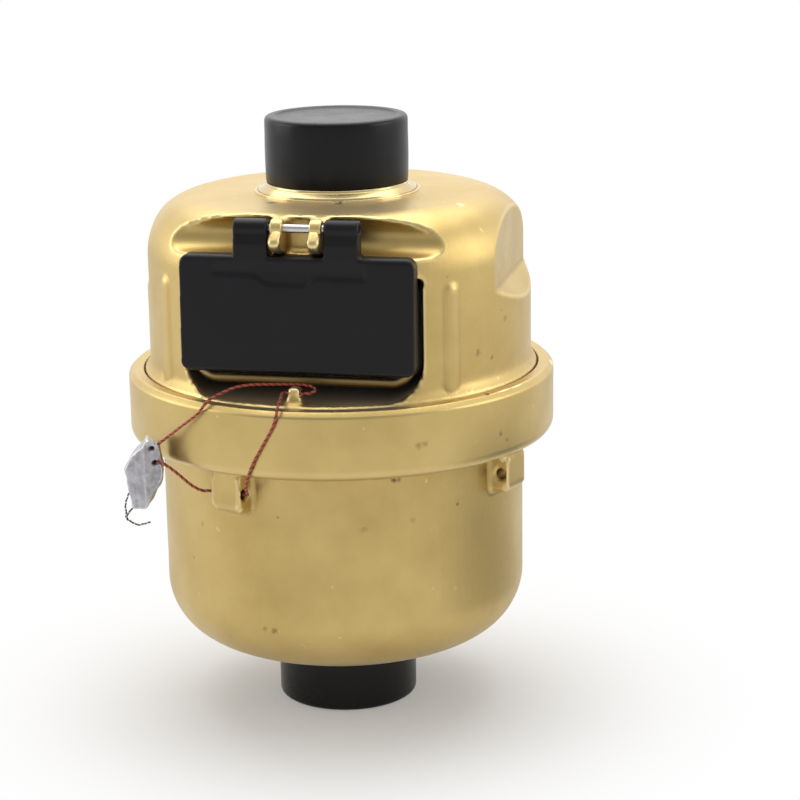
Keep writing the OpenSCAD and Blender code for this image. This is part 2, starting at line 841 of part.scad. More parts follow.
module chamber_cover() {
  color("#d9d4c4")
    difference() {
      union() {
        tube(cover_r, cover_z, cover_top);
        tube(hub_r, chamber_mid + web_t / 2 + room, cover_z + cut, hub_r - hub_wall);
        tube(cup_r + cup_wall, cover_z, flange_z, cup_r);
        at_port(1) tube(shoulder_r, cover_z, shoulder_z);
        at_port(1) tube(tube_r, cover_z, deck_z - room);
      }
      at_port(1) tube(kidney_r, cover_z - cut, deck_z);
      tube(hatch_r, cover_z - cut, cover_top + cut);
      tube(cup_r, cover_top, flange_z + cut);
      at_port(1) tube(shoulder_r, shoulder_z, flange_z + cut, tube_r);
      block([-plate_t / 2 - run, plate_y0 - run, 0], [plate_t / 2 + run, plate_y1 + run, cover_z]);
    }
}

module partition_plate() {
  color("#b9bcc0")
    block([-plate_t / 2, plate_y0, chamber_floor_z], [plate_t / 2, plate_y1, cover_z]);
}

// Ring piston, off the pipe axis by its throw, with its slot astride the plate
module piston() {
  low = chamber_floor_z + room;
  high = cover_z - room;
  color("#4a4a4c")
    translate([0, -throw, 0]) {
      difference() {
        union() {
          tube(piston_r, low, high, piston_r - piston_wall);
          tube(piston_r - web_in, chamber_mid - web_t / 2, chamber_mid + web_t / 2);
        }
        block([-slot_x, plate_y0 - throw - slot_gap, low - cut], [slot_x, big, high + cut]);
      }
      tube(
        crank_r + crank_collar, chamber_mid - web_t / 2 - crank_collar_h,
        chamber_mid + web_t / 2 + crank_collar_h
      );
      tube(crank_r, chamber_mid, carrier_z + carrier_t - room);
    }
}

module drive_carrier() {
  color("#e2ded2")
    difference() {
      union() {
        tube(carrier_r, carrier_z, carrier_z + carrier_t);
        tube(carrier_hub_r, carrier_z, magnet_top);
        tube(pivot_r, carrier_z, pivot_top);
      }
      translate([0, -throw, 0]) tube(crank_r + run, carrier_z - cut, carrier_z + carrier_t - room + run);
    }
}

module drive_magnet() {
  color("#3a3a40") tube(magnet_r, magnet_z, magnet_top, carrier_hub_r + run);
}

module outlet_seal() {
  color("#222222")
    at_port(1)
      rotate_extrude() translate([tube_r + tube_seal_r + run, shoulder_z + tube_seal_r + run]) circle(tube_seal_r);
}

// Counter

module can_outline(inset) {
  panel_outline(can_x - inset, can_z + inset, can_top - inset, can_corner - inset, can_top_corner - inset);
}

module register_can() {
  color("#9a6f45")
    difference() {
      along_y(-can_front, can_back) can_outline(0);
      along_y(-can_front + can_wall, can_back - can_wall) can_outline(can_wall);
      along_y(-can_front - cut, -can_front + can_wall + cut) can_outline(can_wall + can_lip);
    }
}

module register_window() {
  color([0.85, 0.93, 0.95, 0.4])
    along_y(-window_y - window_t, -window_y) can_outline(can_wall + run);
}

module register_frame() {
  inner = frame_x + frame_t / 2;
  color("#dcdcd6")
    difference() {
      union() {
        for (side = [0, 1])
          mirror([side, 0, 0]) {
            block([frame_x, -frame_front, shelf_z], [frame_x + frame_t, frame_back, spindle_top]);
            block([leg_x, -shelf_front, can_floor_z], [leg_x + leg_w, frame_back, shelf_z + frame_t / 2]);
          }
        block([-inner, -shelf_front, shelf_z], [inner, frame_back, shelf_z + frame_t]);
        translate(idler_at) rod_x(axle_r, row_x + fit, inner);
        block([-inner, -bridge_front, spindle_top - frame_t], [inner, frame_back, spindle_top]);
      }
      tube(spindle_r + run, shelf_z - cut, big);
      for (y = [cross_y, roller_y])
        translate([0, -y, counter_z]) rod_x(axle_r + run, -big, big);
    }
}

module dial_plate() {
  color("#f2f2ee")
    along_y(-frame_front - dial_t, -frame_front)
      difference() {
        can_outline(can_wall + room);
        translate([-row_x - room, counter_z - dial_slot_h / 2]) square([2 * row_x + 2 * fit, dial_slot_h]);
      }
}

// Upright spindle with a single-start worm, its crest towards the wheel at mid height
module input_spindle() {
  worm_h = worm_turns * worm_pitch;
  color("#c9c9cd") {
    tube(spindle_r, can_floor_z + room, spindle_top + room);
    translate([0, 0, counter_z - worm_h / 2])
      rotate(-90 - 180 * worm_turns)
        linear_extrude(worm_h, twist = -360 * worm_turns, slices = 12 * worm_turns, $fn = 16)
          translate([worm_off, 0]) circle(worm_root);
  }
}

module follower_magnet() {
  color("#3a3a40") tube(follower_r, follower_z, follower_z + follower_h, spindle_r + run);
}

module cross_shaft() {
  color("#d8c9a0")
    translate([0, -cross_y, counter_z]) {
      rod_x(axle_r, -frame_x - frame_t, frame_x + frame_t);
      gear_x(wheel_teeth, wheel_m, 180 / wheel_teeth, -wheel_t / 2, wheel_t / 2);
      gear_x(pinion_teeth, gear_m, pinion_first, row_x + fit, row_x + fit + gear_w);
    }
}

module idler_gear() {
  color("#d8c9a0")
    translate(idler_at)
      difference() {
        gear_x(idler_teeth, gear_m, idler_first, row_x + fit, row_x + fit + gear_w);
        rod_x(axle_r + run, 0, big);
      }
}

module roller_shaft() {
  color("#c8c8cc")
    translate([0, -roller_y, counter_z]) rod_x(axle_r, -frame_x - frame_t, frame_x + frame_t);
}

// Number roller i, counted from the fastest on the right
module number_roller(i) {
  x = row_x - i * roller_pitch;
  color(i <= 3 ? "#b03a30" : "#26262a")
    translate([0, -roller_y, counter_z])
      difference() {
        union() {
          rod_x(roller_r, x, x + drum_w);
          if (i == 1) {
            rod_x(roller_r - hub_in, x, row_x + 2 * fit);
            gear_x(gear_teeth, gear_m, gear_first, row_x + fit, row_x + fit + gear_w);
          } else {
            gear_x(ring_gear_teeth, ring_gear_m, 90, x + drum_w - fit, x + drum_w + ring_gear_w);
          }
        }
        rod_x(axle_r + run, -big, big);
      }
}

lower_body();
upper_body();
clamp_ring();
top_cap();
bottom_cap();
lid();
hinge_pin();
lead_seal();
seal_wire();
body_seal();
strainer();
chamber_body();
chamber_cover();
partition_plate();
piston();
drive_carrier();
drive_magnet();
outlet_seal();
register_can();
register_window();
register_frame();
dial_plate();
input_spindle();
follower_magnet();
cross_shaft();
idler_gear();
roller_shaft();
for (i = [1 : roller_count])
  number_roller(i);
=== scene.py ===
"""Looks of the in-line water meter: fine meshes, finishes and the seal wire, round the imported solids."""
import json
import math

import bmesh
import bpy
from mathutils import Matrix, Vector, noise
from mathutils.bvhtree import BVHTree
from mathutils.geometry import interpolate_bezier


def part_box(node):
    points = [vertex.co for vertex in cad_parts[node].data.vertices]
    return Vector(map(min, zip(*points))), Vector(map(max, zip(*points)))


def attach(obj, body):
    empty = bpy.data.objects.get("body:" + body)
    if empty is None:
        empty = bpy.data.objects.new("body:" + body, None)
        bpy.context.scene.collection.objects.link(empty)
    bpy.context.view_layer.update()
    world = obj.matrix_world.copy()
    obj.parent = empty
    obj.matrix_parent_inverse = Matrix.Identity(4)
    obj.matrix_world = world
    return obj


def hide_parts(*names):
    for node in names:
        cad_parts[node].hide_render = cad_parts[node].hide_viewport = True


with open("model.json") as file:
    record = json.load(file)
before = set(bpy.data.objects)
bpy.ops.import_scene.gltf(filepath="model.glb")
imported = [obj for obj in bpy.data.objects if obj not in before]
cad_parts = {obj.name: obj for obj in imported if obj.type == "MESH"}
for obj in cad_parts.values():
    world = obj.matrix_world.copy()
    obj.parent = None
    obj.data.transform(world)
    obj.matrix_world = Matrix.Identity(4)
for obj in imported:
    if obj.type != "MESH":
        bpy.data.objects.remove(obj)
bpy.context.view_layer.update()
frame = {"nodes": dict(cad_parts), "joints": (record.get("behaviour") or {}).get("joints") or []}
nodes = frame["nodes"]

MM = 0.001

# The photograph's view, in metres and degrees
CAMERA_PLACE = Vector((0.10975, -0.44020, 0.17837))
CAMERA_TARGET = Vector((0.01119, 0.00264, 0.06058))
CAMERA_ROLL = -0.942
CAMERA_LENS = 105.67
CAMERA_SENSOR = 36

# Corners of the solids that other sizes are read from, in metres
RING_LOW, RING_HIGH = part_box("clamp_ring")
CAP_LOW, CAP_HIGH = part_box("top_cap")
LID_LOW, LID_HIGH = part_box("lid")
PIN_LOW, PIN_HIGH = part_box("hinge_pin")
DIAL_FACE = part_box("dial_plate")[0].y

# Radius of the caps, and heights of the two port faces, the dome's top and the pot's floor, in mm
CAP_R = CAP_HIGH.x / MM
OUTLET_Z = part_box("upper_body")[1].z / MM
INLET_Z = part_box("lower_body")[0].z / MM
DOME_Z = 103.2
POT_Z = 14.2

# Turned foot of the outlet, and the raised land round it, in mm
COLLAR_R = 16
COLLAR_TOP = CAP_LOW.z / MM - 0.1
LAND_R = COLLAR_R + 0.1
LAND_Z = DOME_Z + 0.5

# Knock on the land, across the front: its place, half width and depth, and the rim that it cuts, in mm
NICK_X = 3.6
NICK_W = 1.1
NICK_DEPTH = 0.35
NICK_RIM = 0.5

# Pipe threads: size, the wall under the root, the tapered first turn, and where each ends at the body, in mm
THREAD_R = 13.2
THREAD_DEPTH = 1.1
THREAD_PITCH = 1.814
THREAD_ROOT = THREAD_R - THREAD_DEPTH
SLEEVE_WALL = 0.6
THREAD_TAPER = 1.3
OUTLET_THREAD_Z = COLLAR_TOP + 0.5
INLET_THREAD_Z = POT_Z - 0.6

# Rings of the castings under the turned foot and the threads, and the necks' drawn-in radius, in mm
FOOT_FROM, FOOT_TO = COLLAR_R - 0.4, COLLAR_R + 1.6
NECK_FROM = THREAD_R - 1
NECK_R = THREAD_ROOT - 0.5

# Seal wire: its way from the lead seal over the ring, round the post, down through the lug and back, the
# diameter of its solid and the length of one turn of a strand, in mm
WIRE_ROUTE = [
    (-28.2, -35.2, 59.4), (-26.8, -36.2, 60.5), (-25.0, -36.9, 61.9), (-21.4, -37.9, 64.7),
    (-18.0, -38.8, 67.4), (-16.8, -38.8, 68.9), (-15.8, -38.1, 70.0), (-14.2, -37.3, 70.9),
    (-11.6, -36.4, 72.0), (-8.8, -35.3, 72.4), (-5.6, -34.4, 72.4), (-2.6, -33.8, 72.4),
    (0.4, -33.6, 72.4), (2.6, -33.8, 72.2), (3.6, -34.8, 71.8), (2.9, -35.8, 71.4),
    (1.2, -36.0, 71.3), (-1.2, -36.0, 71.3), (-2.1, -36.8, 71.5), (-1.9, -38.4, 71.5),
    (-1.7, -40.2, 71.0), (-1.7, -41.7, 70.3), (-1.9, -42.6, 68.6), (-2.6, -42.5, 66.5),
    (-4.4, -42.3, 63.3), (-6.3, -42.1, 60.0), (-7.4, -41.9, 57.6), (-8.2, -41.2, 55.6),
    (-8.7, -40.2, 53.9), (-9.0, -38.8, 52.5), (-9.4, -37.4, 51.8), (-10.4, -36.8, 51.6),
    (-13.0, -35.8, 51.6), (-15.8, -34.8, 51.6), (-17.2, -34.5, 51.4), (-19.0, -34.7, 51.4),
    (-20.8, -35.5, 52.6), (-22.8, -36.5, 54.8), (-24.6, -37.0, 56.4), (-26.2, -36.9, 57.1),
    (-28.0, -35.6, 56.4),
]
STRAND_PITCH = 1.25

# Strands of the wire and of its loose ends: radius and distance from the middle, in mm
WIRE_STRANDS = ((0.245, 0.06), (0.11, 0.225))
END_STRANDS = ((0.12, 0.1), (0.1, 0.12))

# Points on each stretch of the smooth curve along the wire and along its loose ends
WIRE_STEPS = 14
END_STEPS = 10

# Lead seal: its middle seen from above, in mm, and its turn, in degrees
SEAL_AT = Vector((-29.1, -35.1, 0))
SEAL_TURN = 14

# Ridge down the seal's front: place across it, half width and height, in mm
RIDGE_U = -0.7
RIDGE_W = 2.0
RIDGE_H = 0.95

# Holes in the seal that the wire leaves by, their radius and depth, and the radius of the painted shade in
# them, in mm
LEAD_HOLES = [(-27.95, -36.4, 59.75), (-27.55, -36.3, 57.0)]
HOLE_R = 0.7
HOLE_DEPTH = 0.8
HOLE_SHADE_R = 0.62

# Dents of the crushed lead: size and height of each layer, in mm
LEAD_DENTS = ((2.4, 0.32), (0.9, 0.10))

# Loose wire ends: each point's place across the seal and its height, and how far in front they lie, in mm
END_ROUTES = [
    [(-2.8, 52.6), (-3.8, 51.0), (-4.7, 48.6), (-4.6, 46.6), (-4.5, 45.6), (-3.7, 45.0),
     (-2.4, 44.4), (-0.1, 44.9)],
    [(-2.4, 49.2), (-3.2, 48.1), (-4.1, 46.9), (-4.7, 46.1), (-4.4, 45.5)],
]
END_Y = -0.4

# Marks that the photograph shows on the brass: place, radius in mm and darkness
PITS = [
    ((33.45, -17.14, 74.7), 0.5, 0.5), ((35.26, -13.06, 81.6), 0.7, 0.35), ((33.5, -22.9, 69.2), 0.6, 1.0),
    ((23.0, -35.1, 62.0), 0.8, 0.35), ((24.0, -34.4, 62.3), 0.6, 0.3), ((35.9, -21.8, 61.2), 0.55, 0.5),
    ((36.8, -20.2, 59.6), 0.5, 0.3), ((17.35, -31.3, 54.2), 0.6, 0.75), ((18.2, -30.8, 54.2), 0.5, 0.6),
    ((27.7, -22.6, 47.4), 0.5, 0.6), ((-8.7, -16.5, 103.3), 1.1, 0.85), ((-5.6, -35.0, 24.4), 0.8, 0.45),
    ((-7.4, -34.9, 24.5), 0.6, 0.4), ((4.1, -15.8, 103.4), 0.8, 0.85), ((20.4, -29.4, 46.0), 0.7, 0.2),
    ((12.0, -33.7, 45.0), 0.8, 0.2), ((31.4, -20.6, 76.4), 0.7, 0.4), ((-21.0, -29.0, 43.0), 0.6, 0.2),
]


# Camera


def make_camera():
    """The photograph's view of the lid side, from the right and a little above."""
    camera = bpy.data.objects.new("camera", bpy.data.cameras.new("camera"))
    bpy.context.scene.collection.objects.link(camera)
    camera.data.sensor_width = CAMERA_SENSOR
    camera.data.lens = CAMERA_LENS
    camera.data.clip_start = 0.01
    aim = (CAMERA_TARGET - CAMERA_PLACE).to_track_quat("-Z", "Y").to_matrix()
    turn = aim @ Matrix.Rotation(math.radians(CAMERA_ROLL), 3, "Z")
    camera.matrix_world = Matrix.Translation(CAMERA_PLACE) @ turn.to_4x4()
    bpy.context.scene.camera = camera


# Mesh helpers

# Likeness of two normals at which a point begins to keep to the solid's face, and at which it lies on it
FACE_MATCH = 0.86
FACE_SAME = 0.95

# Most triangles of a casting, how squarely a hidden wall looks at the seam between the castings, and the
# height above a wall at which a look for another wall begins, in mm
CASTING_FACES = 190000
SEAM_FACING = 0.7
LOOK_FROM = 0.1


def show(name, bm, *materials, sharp=None):
    """Turns a bmesh into a smooth shaded object at the origin, with edges above an angle left sharp."""
    mesh = bpy.data.meshes.new(name)
    bm.to_mesh(mesh)
    bm.free()
    for material in materials:
        mesh.materials.append(material)
    mesh.shade_smooth()
    if sharp:
        mesh.set_sharp_from_angle(angle=math.radians(sharp))
    piece = bpy.data.objects.new(name, mesh)
    bpy.context.scene.collection.objects.link(piece)
    return piece


def dress(piece, body, slot, *replaced):
    """Rides a piece on its body and hides the solids that it stands for. The slot is not used."""
    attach(piece, body)
    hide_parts(*replaced)
    return piece


def soften(corners, steps=5):
    """Outline whose corners, given as (x, y, cut), are rounded over that cut length."""
    points = []
    for i, (x, y, cut) in enumerate(corners):
        corner = Vector((x, y, 0))
        if not cut:
            points.append((x, y))
            continue
        before = Vector((*corners[i - 1][:2], 0)) - corner
        after = Vector((*corners[(i + 1) % len(corners)][:2], 0)) - corner
        start = corner + before.normalized() * cut
        end = corner + after.normalized() * cut
        curve = interpolate_bezier(start, start.lerp(corner, 0.6), end.lerp(corner, 0.6), end, steps)
        points.extend((p.x, p.y) for p in curve)
    return points


def lathe(outline, steps):
    """Closed solid made by spinning a closed outline of (radius, height) points in mm round the pipe axis."""
    bm = bmesh.new()
    verts = [bm.verts.new((r * MM, 0, z * MM)) for r, z in outline]
    edges = [bm.edges.new(pair) for pair in zip(verts, verts[1:] + verts[:1])]
    bmesh.ops.spin(
        bm, geom=verts + edges, cent=(0, 0, 0), axis=(0, 0, 1), angle=2 * math.pi, steps=steps,
        use_merge=True)
    bmesh.ops.remove_doubles(bm, verts=bm.verts, dist=1e-7)
    bmesh.ops.dissolve_degenerate(bm, edges=bm.edges, dist=1e-8)
    bmesh.ops.recalc_face_normals(bm, faces=bm.faces)
    return bm


def evaluated_mesh(holder):
    """Mesh of an object as its modifiers or bevel make it. The object itself is removed."""
    bpy.context.scene.collection.objects.link(holder)
    graph = bpy.context.evaluated_depsgraph_get()
    mesh = bpy.data.meshes.new_from_object(holder.evaluated_get(graph), depsgraph=graph)
    bpy.data.objects.remove(holder)
    return mesh


def soft_copy(node, grid, passes, reach):
    """Even, fine mesh of a solid with worn edges. Its faces keep to the solid's own, within reach (mm)."""
    solid = bmesh.new()
    solid.from_mesh(nodes[node].data)
    bmesh.ops.remove_doubles(solid, verts=solid.verts, dist=1e-6)
    faces = BVHTree.FromBMesh(solid)
    mesh = bpy.data.meshes.new(node + "_copy")
    solid.to_mesh(mesh)
    solid.free()
    holder = bpy.data.objects.new(node + "_copy", mesh)
    remesh = holder.modifiers.new("even grid", "REMESH")
    remesh.mode = "VOXEL"
    remesh.voxel_size = grid * MM
    bm = bmesh.new()
    bm.from_mesh(evaluated_mesh(holder))
    for _ in range(passes):
        bmesh.ops.smooth_vert(
            bm, verts=bm.verts, factor=0.5, use_axis_x=True, use_axis_y=True, use_axis_z=True)
    bm.normal_update()
    for vert in bm.verts:
        place, normal, _, distance = faces.find_nearest(vert.co)
        if distance < reach * MM:
            hold = (vert.normal.dot(normal) - FACE_MATCH) / (FACE_SAME - FACE_MATCH)
            vert.co = vert.co.lerp(place, min(1.0, max(0.0, hold)))
    bm.normal_update()
    return bm


def thin_hidden(bm, most):
    """Casting with at most that many triangles. Only walls that face other walls or the seam are thinned."""
    walls = BVHTree.FromBMesh(bm)
    seam = (RING_LOW.z + RING_HIGH.z) / 2
    weights = bm.verts.layers.deform.verify()
    for vert in bm.verts:
        into_seam = math.copysign(vert.normal.z, (seam - vert.co.z) * vert.normal.z)
        faced = walls.ray_cast(vert.co + vert.normal * LOOK_FROM * MM, vert.normal)[0]
        if faced or into_seam > SEAM_FACING:
            vert[weights][0] = 1.0
    total = sum(len(face.verts) - 2 for face in bm.faces)
    mesh = bpy.data.meshes.new("casting")
    bm.to_mesh(mesh)
    bm.free()
    holder = bpy.data.objects.new("casting", mesh)
    thin = holder.modifiers.new("thin", "DECIMATE")
    thin.vertex_group = holder.vertex_groups.new(name="hidden").name
    thin.ratio = most / total
    bm = bmesh.new()
    bm.from_mesh(evaluated_mesh(holder))
    bm.verts.layers.deform.remove(bm.verts.layers.deform.verify())
    bm.normal_update()
    return bm


def roughen(bm, size, height):
    """Uneven cast skin: moves each point along its normal by smooth noise of that size and height (mm)."""
    for vert in bm.verts:
        vert.co += vert.normal * noise.noise(vert.co / (size * MM)) * height * MM
    bm.normal_update()


def sweep(points, radius, sides_level=2):
    """Round mesh tube with closed ends along points, in metres."""
    curve = bpy.data.curves.new("sweep", "CURVE")
    curve.dimensions = "3D"
    spline = curve.splines.new("POLY")
    spline.points.add(len(points) - 1)
    for spot, point in zip(spline.points, points):
        spot.co = (*point, 1)
    curve.bevel_depth = radius
    curve.bevel_resolution = sides_level
    curve.use_fill_caps = True
    return evaluated_mesh(bpy.data.objects.new("sweep", curve))


def smooth_route(points, steps):
    """Points on one smooth curve through all of a route's points."""
    line = []
    last = len(points) - 1
    for i in range(last):
        before, here = points[max(i - 1, 0)], points[i]
        there, after = points[i + 1], points[min(i + 2, last)]
        leave, arrive = here + (there - before) / 6, there - (after - here) / 6
        line.extend(interpolate_bezier(here, leave, arrive, there, steps)[:-1])
    return line + [points[last]]


def twisted(line, pitch, radius, start):
    """Helix round a line of closely spaced points, with its first turn at the start angle."""
    strand = []
    run = 0.0
    side = (line[1] - line[0]).orthogonal().normalized()
    for i, point in enumerate(line):
        heading = (line[min(i + 1, len(line) - 1)] - line[max(i - 1, 0)]).normalized()
        side = (side - heading * side.dot(heading)).normalized()
        run += (point - line[max(i - 1, 0)]).length
        angle = start + 2 * math.pi * run / pitch
        strand.append(point + radius * (side * math.cos(angle) + heading.cross(side) * math.sin(angle)))
    return strand


# Shader groups and helpers


def add(tree, kind, inputs=None, **settings):
    """New shader node with its settings and the values of its inputs."""
    node = tree.nodes.new(kind)
    for key, value in settings.items():
        setattr(node, key, value)
    for key, value in (inputs or {}).items():
        node.inputs[key].default_value = value
    return node


def new_group(name, inputs, outputs):
    """Empty shader group with float or vector inputs and float outputs, and its two end nodes."""
    group = bpy.data.node_groups.new(name, "ShaderNodeTree")
    for label, value in inputs.items():
        kind = "NodeSocketFloat" if isinstance(value, (int, float)) else "NodeSocketVector"
        group.interface.new_socket(label, in_out="INPUT", socket_type=kind).default_value = value
    for label in outputs:
        group.interface.new_socket(label, in_out="OUTPUT", socket_type="NodeSocketFloat")
    return group, add(group, "NodeGroupInput"), add(group, "NodeGroupOutput")


def math_node(tree, operation, first, second):
    """Math node whose two inputs are sockets or plain values."""
    node = add(tree, "ShaderNodeMath", operation=operation)
    for slot, value in enumerate((first, second)):
        if isinstance(value, (int, float)):
            node.inputs[slot].default_value = value
        else:
            tree.links.new(value, node.inputs[slot])
    return node.outputs[0]


def ramp(tree, value, low, high, to_low=0.0, to_high=1.0, course="LINEAR"):
    """Clamped change of a value's range, straight or smooth."""
    node = add(tree, "ShaderNodeMapRange", {
        "From Min": low, "From Max": high, "To Min": to_low, "To Max": to_high}, interpolation_type=course)
    tree.links.new(value, node.inputs["Value"])
    return node.outputs["Result"]


def blend_colours(tree, mask, first, second):
    """Mix of two colours, each a socket or a colour, by a mask."""
    node = add(tree, "ShaderNodeMix", data_type="RGBA")
    tree.links.new(mask, node.inputs["Factor"])
    for socket, colour in zip([s for s in node.inputs if s.type == "RGBA"], (first, second)):
        if isinstance(colour, bpy.types.NodeSocket):
            tree.links.new(colour, socket)
        else:
            socket.default_value = (*colour, 1)
    return next(s for s in node.outputs if s.type == "RGBA")


def noise_value(tree, vector, scale, detail, roughness=0.55):
    """Noise texture's value at a vector, with a scale that is a socket or a plain value."""
    node = add(tree, "ShaderNodeTexNoise", {"Detail": detail, "Roughness": roughness})
    tree.links.new(vector, node.inputs["Vector"])
    if isinstance(scale, (int, float)):
        node.inputs["Scale"].default_value = scale
    else:
        tree.links.new(scale, node.inputs["Scale"])
    return node.outputs["Fac"]


def make_skin_group():
    """Cloudy tone, fine blasted grain, sparse pin holes and pale flecks, shared by metals and mouldings."""
    group, inside, outside = new_group(
        "skin", {"Cloud scale": 70.0, "Grain scale": 2600.0, "Hole scale": 260.0},
        ("Cloud", "Grain", "Holes", "Flecks"))
    spot = add(group, "ShaderNodeTexCoord").outputs["Object"]
    cloud = noise_value(group, spot, inside.outputs["Cloud scale"], 5.0, 0.6)
    group.links.new(ramp(group, cloud, 0.3, 0.7), outside.inputs["Cloud"])
    group.links.new(noise_value(group, spot, inside.outputs["Grain scale"], 2.0), outside.inputs["Grain"])
    cells = add(group, "ShaderNodeTexVoronoi")
    group.links.new(spot, cells.inputs["Vector"])
    group.links.new(inside.outputs["Hole scale"], cells.inputs["Scale"])
    chance = add(group, "ShaderNodeSeparateColor")
    group.links.new(cells.outputs["Color"], chance.inputs["Color"])
    few = math_node(group, "GREATER_THAN", chance.outputs["Red"], 0.88)
    dot = ramp(group, cells.outputs["Distance"], 0.03, 0.10, 0.45, 0.0)
    group.links.new(math_node(group, "MULTIPLY", few, dot), outside.inputs["Holes"])
    some = math_node(group, "GREATER_THAN", chance.outputs["Green"], 0.72)
    streak = noise_value(group, spot, 900.0, 2.0)
    ragged = math_node(group, "ADD", cells.outputs["Distance"], ramp(group, streak, 0.3, 0.7, -0.10, 0.10))
    fleck = ramp(group, ragged, 0.02, 0.11, 0.55, 0.0)
    group.links.new(math_node(group, "MULTIPLY", some, fleck), outside.inputs["Flecks"])
    return group


def make_edge_group():
    """Masks of outer edges and of inner corners, from the surface's own curvature. The finishes paint
    highlights on the edges and shade in the corners.
    """
    group, inside, outside = new_group("edges", {"Width": 0.06}, ("Edge", "Corner"))
    bend = add(group, "ShaderNodeNewGeometry").outputs["Pointiness"]
    turn = math_node(group, "DIVIDE", math_node(group, "SUBTRACT", bend, 0.5), inside.outputs["Width"])
    group.links.new(ramp(group, turn, 0.12, 1.0), outside.inputs["Edge"])
    group.links.new(ramp(group, turn, -0.12, -1.0), outside.inputs["Corner"])
    return group


def make_pit_group():
    """Soft round mark at a place on the surface."""
    group, inside, outside = new_group(
        "pit", {"Place": (0.0, 0.0, 0.0), "Radius": 0.0004, "Darkness": 1.0}, ("Mark",))
    spot = add(group, "ShaderNodeTexCoord").outputs["Object"]
    wobble = add(group, "ShaderNodeTexNoise", {"Scale": 1500.0, "Detail": 2.0})
    group.links.new(spot, wobble.inputs["Vector"])
    apart = add(group, "ShaderNodeVectorMath", operation="DISTANCE")
    group.links.new(spot, apart.inputs[0])
    group.links.new(inside.outputs["Place"], apart.inputs[1])
    share = math_node(group, "DIVIDE", apart.outputs["Value"], inside.outputs["Radius"])
    uneven = math_node(group, "ADD", share, ramp(group, wobble.outputs["Fac"], 0.2, 0.8, -0.5, 0.5))
    mark = math_node(group, "MULTIPLY", ramp(group, uneven, 0.3, 1.1, 1.0, 0.0), inside.outputs["Darkness"])
    group.links.new(mark, outside.inputs["Mark"])
    return group


SKIN = make_skin_group()
EDGES = make_edge_group()
PIT = make_pit_group()


def new_material(name, **plain):
    """Material with a Principled shader, whose plain inputs are set by name with _ for a space."""
    material = bpy.data.materials.new(name)
    material.use_nodes = True
    tree = material.node_tree
    shader = tree.nodes["Principled BSDF"]
    for key, value in plain.items():
        shader.inputs[key.replace("_", " ")].default_value = value
    return material, tree, shader


def skin_node(tree, cloud, grain, holes):
    """Skin group with its own scales."""
    return add(tree, "ShaderNodeGroup", {
        "Cloud scale": cloud, "Grain scale": grain, "Hole scale": holes}, node_tree=SKIN)


def bump(tree, shader, height, depth):
    """Bump of a height over a depth in mm into the shader's normal."""
    node = add(tree, "ShaderNodeBump", {"Strength": 1.0, "Distance": depth * MM})
    tree.links.new(height, node.inputs["Height"])
    tree.links.new(node.outputs["Normal"], shader.inputs["Normal"])


# Brown of the painted shade in inner corners, and of pin holes and marks
PAINTED_CORNER_SHADE = (0.16, 0.10, 0.04)
MARK_BROWN = (0.05, 0.032, 0.015)


def brass(name, dark, light, bright, rough, grain_depth):
    """Satin brass: cloudy tone, blasted grain, pin holes, marks, painted highlights on the outer edges and
    painted shade in the inner corners.
    """
    material, tree, shader = new_material(name, Metallic=1.0, Sheen_Weight=0.14, Sheen_Roughness=0.45)
    skin = skin_node(tree, cloud=70.0, grain=2600.0, holes=260.0)
    edges = add(tree, "ShaderNodeGroup", node_tree=EDGES)
    marks = skin.outputs["Holes"]
    for place, radius, darkness in PITS:
        pit = add(tree, "ShaderNodeGroup", node_tree=PIT)
        pit.inputs["Place"].default_value = Vector(place) * MM
        pit.inputs["Radius"].default_value = radius * MM
        pit.inputs["Darkness"].default_value = darkness
        marks = math_node(tree, "MAXIMUM", marks, pit.outputs["Mark"])
    tone = blend_colours(tree, skin.outputs["Cloud"], dark, light)
    # Painted highlight: outer edges, found by curvature, take the pale edge tone, as the flecks do
    pale = math_node(tree, "MAXIMUM", edges.outputs["Edge"], skin.outputs["Flecks"])
    tone = blend_colours(tree, pale, tone, bright)
    # Painted shade: inner corners are darkened towards brown
    corners = math_node(tree, "MULTIPLY", edges.outputs["Corner"], 0.7)
    tone = blend_colours(tree, corners, tone, PAINTED_CORNER_SHADE)
    tone = blend_colours(tree, marks, tone, MARK_BROWN)
    tree.links.new(tone, shader.inputs["Base Color"])
    satin = math_node(tree, "ADD", ramp(tree, skin.outputs["Cloud"], 0.0, 1.0, rough + 0.06, rough - 0.04),
                      math_node(tree, "MULTIPLY", edges.outputs["Edge"], -0.1))
    tree.links.new(satin, shader.inputs["Roughness"])
    height = math_node(tree, "SUBTRACT", skin.outputs["Grain"], math_node(tree, "MULTIPLY", marks, 2.5))
    bump(tree, shader, height, grain_depth)
    return material


def moulded(name, colour, shade, rough, grain_depth, **plain):
    """Moulded plastic or rubber: fine grain, a cloudy sheen and painted highlights on its edges."""
    material, tree, shader = new_material(name, **plain)
    skin = skin_node(tree, cloud=110.0, grain=5200.0, holes=300.0)
    edges = add(tree, "ShaderNodeGroup", node_tree=EDGES)
    tone = blend_colours(tree, skin.outputs["Cloud"], colour, shade)
    # Painted highlight: outer edges are painted paler
    pale = tuple(min(1.0, c * 1.5 + 0.01) for c in colour)
    tone = blend_colours(tree, math_node(tree, "MULTIPLY", edges.outputs["Edge"], 0.5), tone, pale)
    tree.links.new(tone, shader.inputs["Base Color"])
    gloss = ramp(tree, skin.outputs["Cloud"], 0.0, 1.0, rough - 0.03, rough + 0.06)
    tree.links.new(gloss, shader.inputs["Roughness"])
    bump(tree, shader, skin.outputs["Grain"], grain_depth)
    return material


